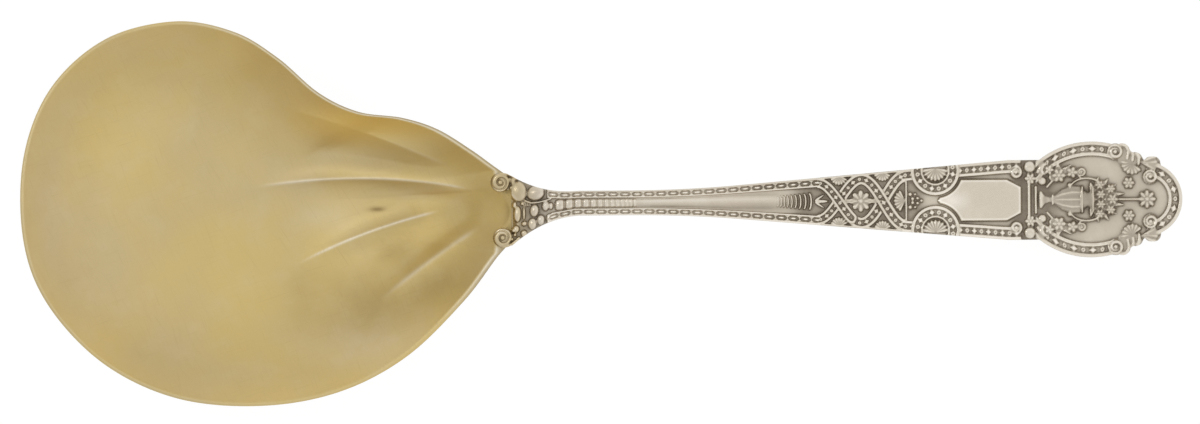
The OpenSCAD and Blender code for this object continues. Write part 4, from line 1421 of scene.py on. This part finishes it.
        # Place along, place across, shape and turn in degrees
        sides = (
            (x, v - 0.1, Scroll(r + 0.1, 1.8, 1, 0.95, 0.3), 0.0),
            (x + 3.0, v - 0.7, Ball(2.6, 2.2, 0.5, 4.0), 0.0),
            (x + 3.4, v - 2.5, Shell(2.4, 1.5, 7, 0.85), -115.0),
            (p.lobe_x + 1.0, p.lobe_r - 3.0, Scroll(1.55, 1.8, 1, 0.95, 0.3), 0.0),
            (p.lobe_x - 1.0, p.lobe_r - 0.1, Shell(3.6, 0.62, 3, 0.95), 0.0),
        )
        for place in sides:
            die.both(*place)
        # Steps along and across from the side scroll's middle
        folds = (
            ((0.9, 1.5), (2.1, 1.2), (2.7, 0.1), (2.4, -1.5)),
            ((3.3, 0.1), (3.6, -0.8), (3.5, -1.9)),
            ((4.4, -0.5), (4.8, -1.4), (4.7, -2.6)),
        )
        for fold in folds:
            die.rail(moved(fold, x, v), (1.1, 0.7), 0.9, SIDES)

    def strike_vase(self) -> None:
        """Strikes a two-handled vase of leaves and flowers along the head, with tendrils beside it."""
        die, p = self.die, self.plan
        x0 = p.neck_x + 3.3
        hoops = (2.7, 8.7, 10.9)  # Steps from the vase's foot
        # Turn in degrees and length of each leaf over the vase, and of those beside it
        spray = ((8, 6.6), (30, 5.6), (52, 5.2), (76, 4.6), (100, 3.4))
        side_leaves = ((150, 3.2), (95, 3.0), (40, 3.4))
        # Step along from the vase's mouth or foot, place across, radius and petals of each flower
        flowers = ((1.5, 1.0, 1.15, 6), (1.3, 2.9, 1.1, 6), (3.5, 2.1, 1.15, 6), (3.9, 0.0, 1.3, 6))
        side_flowers = ((4.0, 4.9, 1.6, 6), (6.7, 5.5, 1.3, 5), (2.0, 6.0, 1.1, 5))
        profile_x = np.array([0.0, 0.5, 1.3, 2.2, 3.0, 4.6, 6.6, 8.3, 9.2, 9.9, 10.6, 11.2])
        profile_r = np.array([1.9, 1.9, 0.9, 0.6, 0.9, 2.1, 2.85, 2.75, 1.9, 1.5, 2.2, 2.3])
        part, xs, vs = die.window(x0, x0 + profile_x[-1], 3.2)
        radius = np.interp(xs - x0, profile_x, profile_r)
        flutes = 1.0 - 0.3 * np.abs(np.sin(6.0 * vs / radius)) * step_up(xs, x0 + 2.6, 1.5)
        flutes = np.where(xs - x0 > 8.3, 1.0, flutes)
        body = (0.3 + 0.34 * radius) * hump(vs / radius, 2.0) * flutes
        die.lift(part, np.where(np.abs(vs) < radius, body, 0.0))
        for dx in hoops:
            r = float(np.interp(dx, profile_x, profile_r)) + 0.15
            die.bar(x0 + dx, r, 0.45, 0.35 + 0.36 * r)
        top = x0 + 11.0
        for turn, size in spray:
            die.both(top, 0.3, Leaf(size, 0.8, 0.8, 1), turn)
        die.rail([(top, 0.0), (p.lobe_x - 1.0, 0.0)], (0.6, 0.5), 0.8)
        for dx, v, r, petals in flowers:
            die.both(top + dx, v, Rosette(r, petals, 1.2), 0.0, 0.4)
        die.strike(p.lobe_x + 0.3, 0.0, Rosette(2.0, 8, 1.1))
        die.both(p.lobe_x - 3.4, 3.3, Rosette(1.35, 6, 0.95))
        turns, steps = np.linspace(0.15, 2.6, 12), np.linspace(0.0, 1.35, 12)
        ear = np.column_stack([x0 + 9.6 - 3.4 * np.cos(turns), 2.0 + 2.3 * np.sin(turns)])
        sway = 2.6 + 3.9 * np.sin(1.5 * steps) - 0.9 * steps * steps
        tendril = np.column_stack([x0 + 1.6 + 5.0 * steps, sway])
        die.rail(ear, (0.4, 0.6), 0.75, SIDES)
        die.both(x0 + 6.2, 2.9, Ball(0.6, 0.6, 0.8))
        die.rail(tendril, (0.6, 0.35), 0.6, SIDES)
        for turn, size in side_leaves:
            die.both(x0 + 4.0, 4.9, Leaf(size, 0.7, 0.75, 2), turn)
        for dx, v, r, petals in side_flowers:
            die.both(x0 + dx, v, Rosette(r, petals, 1.1), 0.0, 0.35)
        die.both(x0 + 8.6, 5.6, Scroll(1.0, 1.5, -1, 0.7, 0.1))

    def tarnish_and_shade(self) -> None:
        """Softens the die and works out where tarnish stays, where painted shade falls on steep walls, and
        where the silver is rubbed bright with a painted highlight.
        """
        die, front = self.die, self.line.fan_front
        xs = die.xs[:, None]
        soft = blur(die.height, self.soft_reach)
        close = blur(die.height, self.close_reach) - soft
        wide = blur(die.height, self.wide_reach) - soft
        # Painted shade on steep, low walls
        steep_walls_shade = smooth(np.hypot(*np.gradient(soft, die.pitch)) / 2.0) * step_down(soft, 0.8, 0.5)
        dark = self.close_dark * smooth(close / 0.3) + self.wide_dark * smooth(wide / 0.4)
        dark += self.wall_painted_shade * steep_walls_shade
        handled = step_up(xs, front + 4.0, 5.0) * step_down(xs, self.strap_x, 26.0)
        dark *= (1.0 - self.stem_clean * handled) * (1.0 - self.gilt_clean * die.gilding)
        dark += die.ground * step_down(soft, 0.25, 0.2) + np.maximum(die.stain, 0.0)
        dark *= 1.0 - self.bay_clean * self.bay(die.vs[None, :]) * (1.0 - step_up(xs, front, 1.8))
        dark = np.minimum(dark, self.most_dark - self.gilt_dark * die.gilding)
        # Crests rubbed bright, which also carry a painted highlight
        rubbed = step_up(-close, 0.02, 0.13)
        toned = step_up(soft, 0.12, 0.3) * step_up(xs, self.strap_x - 30.0, 40.0) * (1.0 - rubbed)
        die.height = soft
        shade = (self.face_tone * toned - self.crest_gleam * rubbed) * (1.0 - dark)
        self.dark = dark + shade + np.minimum(die.stain, 0.0)

    def strike(self) -> None:
        """Strikes and tones the whole face."""
        self.strike_fan()
        self.strike_stem()
        self.strike_panel()
        self.strike_neck()
        self.strike_head()
        self.strike_vase()
        self.tarnish_and_shade()


@dataclass
class Handle:
    """The handle in one piece: a plate with the struck face on top, a plain back and two prongs."""

    line: SpoonLine  # The spoon's side line
    plan: HandlePlan  # Its outline and side profile
    pattern: Pattern  # The ornament of its face
    rows: tuple[float, float] = (0.096, 0.18)  # Spacing of the mesh across the stem and across the head
    run: tuple[float, float] = (0.128, 0.18)  # Spacing of the mesh along the stem and along the head
    # Places across the underside, from one edge to the other, as shares of the half-width
    back_shares: tuple[float, ...] = (1, 1, 0.95, 0.84, 0.65, 0.35, 0, -0.35, -0.65, -0.84, -0.95, -1, -1)
    lip: float = 0.15  # Share of the edge's height that takes the tone of the struck face
    back_tone: float = 0.06  # Tarnish of the plain back
    tip_gap: float = 0.015  # Step from the last mesh column to the handle's end
    tip_run: float = 2.0  # Length before it over which the columns come closer
    tip_columns: int = 25  # Number of those columns
    tip_bend: float = 1.6  # Exponent of their spacing
    prong_l: float = 1.6  # How far the prongs run back over the fan's front edge
    prong_blend: float = 3.0  # Length over which they lean to the fan's side
    prong_taper: float = 0.35  # Share of their width that they lose on the way
    prong_inset: float = 0.1  # How far they lie in from the fan's side and sink into the lap
    prong_sunk: float = 0.12  # How far their face lies under the fan's
    prong_step: float = 0.4  # Length over which it sinks

    def columns(self) -> Array:
        """Places of the mesh columns, closer towards the round end."""
        end = self.plan.end_x - self.tip_gap
        body = [self.line.fan_front]
        while body[-1] < end - self.tip_run:
            body.append(body[-1] + lerp(*self.run, self.coarse(body[-1])))
        left = 1.0 - np.linspace(0.0, 1.0, self.tip_columns + 1)[1:]
        tip = end - (end - body[-1]) * left ** self.tip_bend
        return np.concatenate([body, tip])

    def coarse(self, x: Array) -> Array:
        """Share of the head's coarser mesh at x."""
        start = self.pattern.strap_x
        return step_up(x, start, self.plan.neck_x - start)

    def build(self) -> bpy.types.Object:
        """Strikes the pattern, makes the handle and dresses it.

        Returns:
            The handle.
        """
        self.pattern.strike()
        p = self.plan
        xs = self.columns()
        lap = self.line.rim_z(xs) + self.line.solder_t
        joined = xs < self.line.foot_x
        bottom = np.where(joined, lap, p.back_z(xs))
        rounding = np.where(joined, 0.0, p.back_edge)
        plates = [self.plate(xs, p.axis_y(xs), p.half(xs), bottom, rounding)]
        plates += [self.prong(side, *place) for side, place in zip(SIDES, self.pattern.volutes)]
        faces, first = [], 0
        for points, part_faces, _ in plates:
            faces += [[k + first for k in face] for face in part_faces]
            first += len(points)
        points = np.vstack([part[0] for part in plates])
        dark, gilding = np.vstack([part[2] for part in plates]).T
        piece = make_piece("struck_handle", points, faces, [SILVER.material()], dark, gilding)
        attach(piece, "root")
        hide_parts("handle")
        return piece

    def prong(self, side: int, dx: float, v: float) -> Plate:
        """Makes the prong that carries a heel volute.

        Args:
            side: 1, or -1 for the mirrored side.
            dx: Place of the volute from the heel line.
            v: Its distance from the handle's axis.

        Returns:
            Points, faces, the tarnish with painted shade and light, and the gilding of each point.
        """
        r, x0 = self.pattern.volute_r, self.line.heel_x + dx
        xs = np.arange(x0 - r + 0.01, self.line.fan_front + self.prong_l, self.run[0])
        past = step_up(xs, x0, self.prong_blend)
        nose = np.sqrt(np.maximum(r * r - np.minimum(0.0, xs - x0) ** 2, 0.0004))
        reach = nose * (1.0 - self.prong_taper * past)
        mid = lerp(v, self.plan.half(xs) - reach - self.prong_inset, past)
        lap = self.line.rim_z(xs) + self.line.solder_t - self.prong_inset
        sunk = self.prong_sunk * step_up(xs, self.line.fan_front, self.prong_step)
        return self.plate(xs, self.plan.axis_y(xs) + side * mid, reach, lap, np.zeros_like(lap), sunk)

    def plate(
        self, xs: Array, mid: Array, half: Array, bottom: Array, rounding: Array, sunk: Array | float = 0.0
    ) -> Plate:
        """Makes a closed plate with the struck face on top.

        Args:
            xs: Places of the columns.
            mid: Middle of each column across the handle.
            half: Half-width of each column.
            bottom: Height of the underside's middle.
            rounding: How far the underside rises to its sides.
            sunk: How far the face lies under the die's own height.

        Returns:
            Points, faces, the tarnish with painted shade and light, and the gilding of each point.
        """
        p, die = self.plan, self.pattern.die
        maps = (die.height, self.pattern.dark, die.gilding)
        pitch = lerp(*self.rows, self.coarse(xs))
        axis = p.axis_y(xs)
        field_z = p.field_z(xs) - sunk
        shares = np.array(self.back_shares)
        points, tones, tops, backs = [], [], [], []
        total = 0
        counts = np.maximum(0, np.floor(half / pitch - 0.35).astype(int))
        for i, x in enumerate(xs):
            n = counts[i]
            y = mid[i] + np.concatenate([[-half[i]], pitch[i] * np.arange(-n, n + 1), [half[i]]])
            relief, *tone = (die.sample(np.full(len(y), x), y - axis[i], values) for values in maps)
            z = field_z[i] + relief
            low = bottom[i] + rounding[i] * np.abs(shares) ** 4
            low[[0, -1]] = lerp(z[[-1, 0]], low[[1, -2]], self.lip)
            under = np.column_stack([np.full(len(shares), x), mid[i] + shares * half[i], low])
            points.append(np.column_stack([np.full(len(y), x), y, z]))
            points.append(under)
            tones.append(np.column_stack(tone))
            tones.append(np.tile((self.back_tone, 0.0), (len(shares), 1)))
            tops.append(np.arange(total, total + len(y)))
            backs.append(np.arange(total + len(y), total + len(y) + len(shares)))
            total += len(y) + len(shares)
        return np.vstack(points), self.stitch(tops, backs, counts), np.vstack(tones)

    @staticmethod
    def stitch(tops: list[Array], backs: list[Array], counts: Array) -> list[list[int]]:
        """Joins the columns of a plate, whose numbers of rows may differ.

        Args:
            tops: Point numbers of the struck face in each column.
            backs: Point numbers of the underside in each column.
            counts: Whole rows to either side of each column's middle.

        Returns:
            Faces of the closed plate.
        """
        faces = []
        for i in range(len(tops) - 1):
            a, b = tops[i], tops[i + 1]
            m = min(counts[i], counts[i + 1])
            ca, cb = counts[i] + 1, counts[i + 1] + 1
            ra, rb = a[ca - m:ca + m + 1], b[cb - m:cb + m + 1]
            faces += np.column_stack([ra[:-1], rb[:-1], rb[1:], ra[1:]]).tolist()
            right, left = (a[ca + m:], b[cb + m:]), (a[:ca - m + 1][::-1], b[:cb - m + 1][::-1])
            for chain_a, chain_b in (right, left):
                faces += [[chain_a[k], chain_b[0], chain_a[k + 1]] for k in range(len(chain_a) - 2)]
                faces += [[chain_a[-2], chain_b[k], chain_b[k + 1]] for k in range(len(chain_b) - 2)]
                faces.append([chain_a[-2], chain_b[-2], chain_b[-1], chain_a[-1]])
            ra = np.concatenate([[a[-1]], backs[i], [a[0]]])
            rb = np.concatenate([[b[-1]], backs[i + 1], [b[0]]])
            faces += np.column_stack([ra[:-1], rb[:-1], rb[1:], ra[1:]]).tolist()
        for i in (0, -1):
            faces.append(np.concatenate([tops[i], backs[i]]).tolist())
        return faces


class SolderSeam:
    """The film of solder in the lap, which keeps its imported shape."""

    def dress(self) -> bpy.types.Object:
        """Gives the seam its finish.

        Returns:
            The seam.
        """
        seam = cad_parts["solder_seam"]
        seam.data.materials.clear()
        seam.data.materials.append(SOLDER.material())
        return seam


@dataclass
class Studio:
    """Floor, soft light and the camera straight above the spoon."""

    middle: Place = (77.56, -1.8)  # Point in the middle of the photograph, in millimetres
    view_w: float = 242.0  # Width that the photograph takes in, in millimetres
    tilt: float = 0.4315  # Angle at which the handle rises to the right, in degrees
    distance: float = 3.8  # Height of the camera over the rim, in metres
    rim_z: float = 15.0  # Height of the plane that the width is measured in, in millimetres
    sensor: float = 36.0  # Width of the camera's sensor, in millimetres
    reach: float = 10.0  # Furthest distance that the camera sees, in metres
    floor_half: float = 4.0  # Half of the floor's side, in metres
    floor_greys: Place = (0.86, 0.9)  # Darkest and lightest grey of the floor
    floor_grain: float = 900.0  # Scale of the floor's grain per metre
    floor_glow: float = 1.05  # Strength of the white that the camera and reflections see in the floor
    glow_share: float = 0.88  # Share of that white against the floor's own grey
    sky_levels: Place = (0.92, 0.95)  # Strength of the surroundings at the horizon and overhead
    sky_top: float = 0.95  # Height of a direction that counts as overhead
    sky_lean: Place = (0.1, 0.05)  # How much brighter the surroundings get along X and along Y
    # Name, place and side in metres, and power in watts of each lamp
    lamps: tuple[tuple[str, tuple[float, float, float], float, float], ...] = (
        ("key", (-0.7, 0.3, 1.0), 0.25, 0.8), ("fill", (0.5, -0.5, 0.9), 0.8, 0.3),
    )

    def floor(self) -> bpy.types.Object:
        """Lays the pale floor that the spoon rests on.

        Returns:
            The floor.
        """
        size, z = self.floor_half, CAD_BOX[0].z
        corners = [(x * size, y * size, z) for x, y in ((-1, -1), (1, -1), (1, 1), (-1, 1))]
        mesh = bpy.data.meshes.new("floor")
        mesh.from_pydata(corners, [], [(0, 1, 2, 3)])
        made = bpy.data.materials.new("white_card")
        g = Graph(made)
        rays = g.add("LightPath").outputs
        seen = g.most(*(rays[f"Is {kind} Ray"] for kind in ("Camera", "Glossy", "Transmission")))
        grain = g.noise(g.add("TexCoord").outputs["Object"], self.floor_grain, 2.0)
        greys = [(grey, grey, grey, 1.0) for grey in self.floor_greys]
        card = g.add("BsdfDiffuse", {"Color": g.mix(grain, *greys)})
        glow = g.add("Emission", {"Color": WHITE, "Strength": self.floor_glow})
        sides = {0: g.times(seen, self.glow_share), 1: card.outputs[0], 2: glow.outputs[0]}
        g.close("OutputMaterial", g.add("MixShader", sides))
        mesh.materials.append(made)
        floor = put("floor", mesh)
        return floor

    def lamp(self, name: str, place: Sequence[float], size: float, power: float) -> None:
        """Hangs a soft square lamp that faces the spoon.

        Args:
            name: Name of the lamp.
            place: Where it hangs, in metres.
            size: Length of its side, in metres.
            power: Its power in watts.
        """
        light = bpy.data.lights.new(name, "AREA")
        light.size = size
        light.energy = power
        lamp = put(name, light)
        lamp.location = place
        aim = np.array([self.middle[0] * MM, self.middle[1] * MM, 0.0]) - np.array(place)
        lamp.rotation_euler = (
            math.atan2(math.hypot(aim[0], aim[1]), -aim[2]), 0.0, math.atan2(aim[1], aim[0]) - math.pi / 2.0
        )

    def light(self) -> None:
        """Hangs the lamps and sets the pale surroundings."""
        world = bpy.data.worlds.new("studio")
        bpy.context.scene.world = world
        g = Graph(world)
        way = g.add("SeparateXYZ", {"Vector": g.add("TexCoord").outputs["Generated"]}).outputs
        lean = g.plus(g.times(way["X"], self.sky_lean[0]), g.times(way["Y"], self.sky_lean[1]))
        level = g.plus(g.spread(way["Z"], 0.0, self.sky_top, *self.sky_levels), lean)
        around = g.add("Background", {"Color": WHITE, "Strength": level})
        white = g.add("Background", {"Color": WHITE, "Strength": 1.0})
        seen = g.add("LightPath").outputs["Is Camera Ray"]
        sides = {0: seen, 1: around.outputs[0], 2: white.outputs[0]}
        g.close("OutputWorld", g.add("MixShader", sides))
        for lamp in self.lamps:
            self.lamp(*lamp)

    def camera(self) -> None:
        """Sets the camera at the photograph's framing."""
        data = bpy.data.cameras.new("camera")
        data.type = "PERSP"
        data.sensor_fit = "HORIZONTAL"
        data.sensor_width = self.sensor
        data.lens = self.distance * self.sensor / (self.view_w * MM)
        data.clip_end = self.reach
        camera = put("camera", data)
        camera.location = (self.middle[0] * MM, self.middle[1] * MM, self.distance + self.rim_z * MM)
        camera.rotation_euler = (0.0, 0.0, -math.radians(self.tilt))
        bpy.context.scene.camera = camera

    def build(self) -> None:
        """Sets up the whole studio."""
        self.camera()
        self.floor()
        self.light()
        bpy.context.scene.view_settings.view_transform = "Standard"


def main() -> None:
    logging.basicConfig(level=logging.INFO)
    end_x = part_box("handle")[1].x / MM + END_FLAT
    line = SpoonLine(heel_x=end_x - HANDLE_LENGTH)
    plan = HandlePlan(line, end_x)
    handle = Handle(line, plan, Pattern(line, plan))
    Studio().build()
    for piece in (Bowl(line, plan).build(), handle.build(), SolderSeam().dress()):
        LOG.info("%s: %d faces", piece.name, len(piece.data.polygons))


if __name__ == "__main__":
    main()
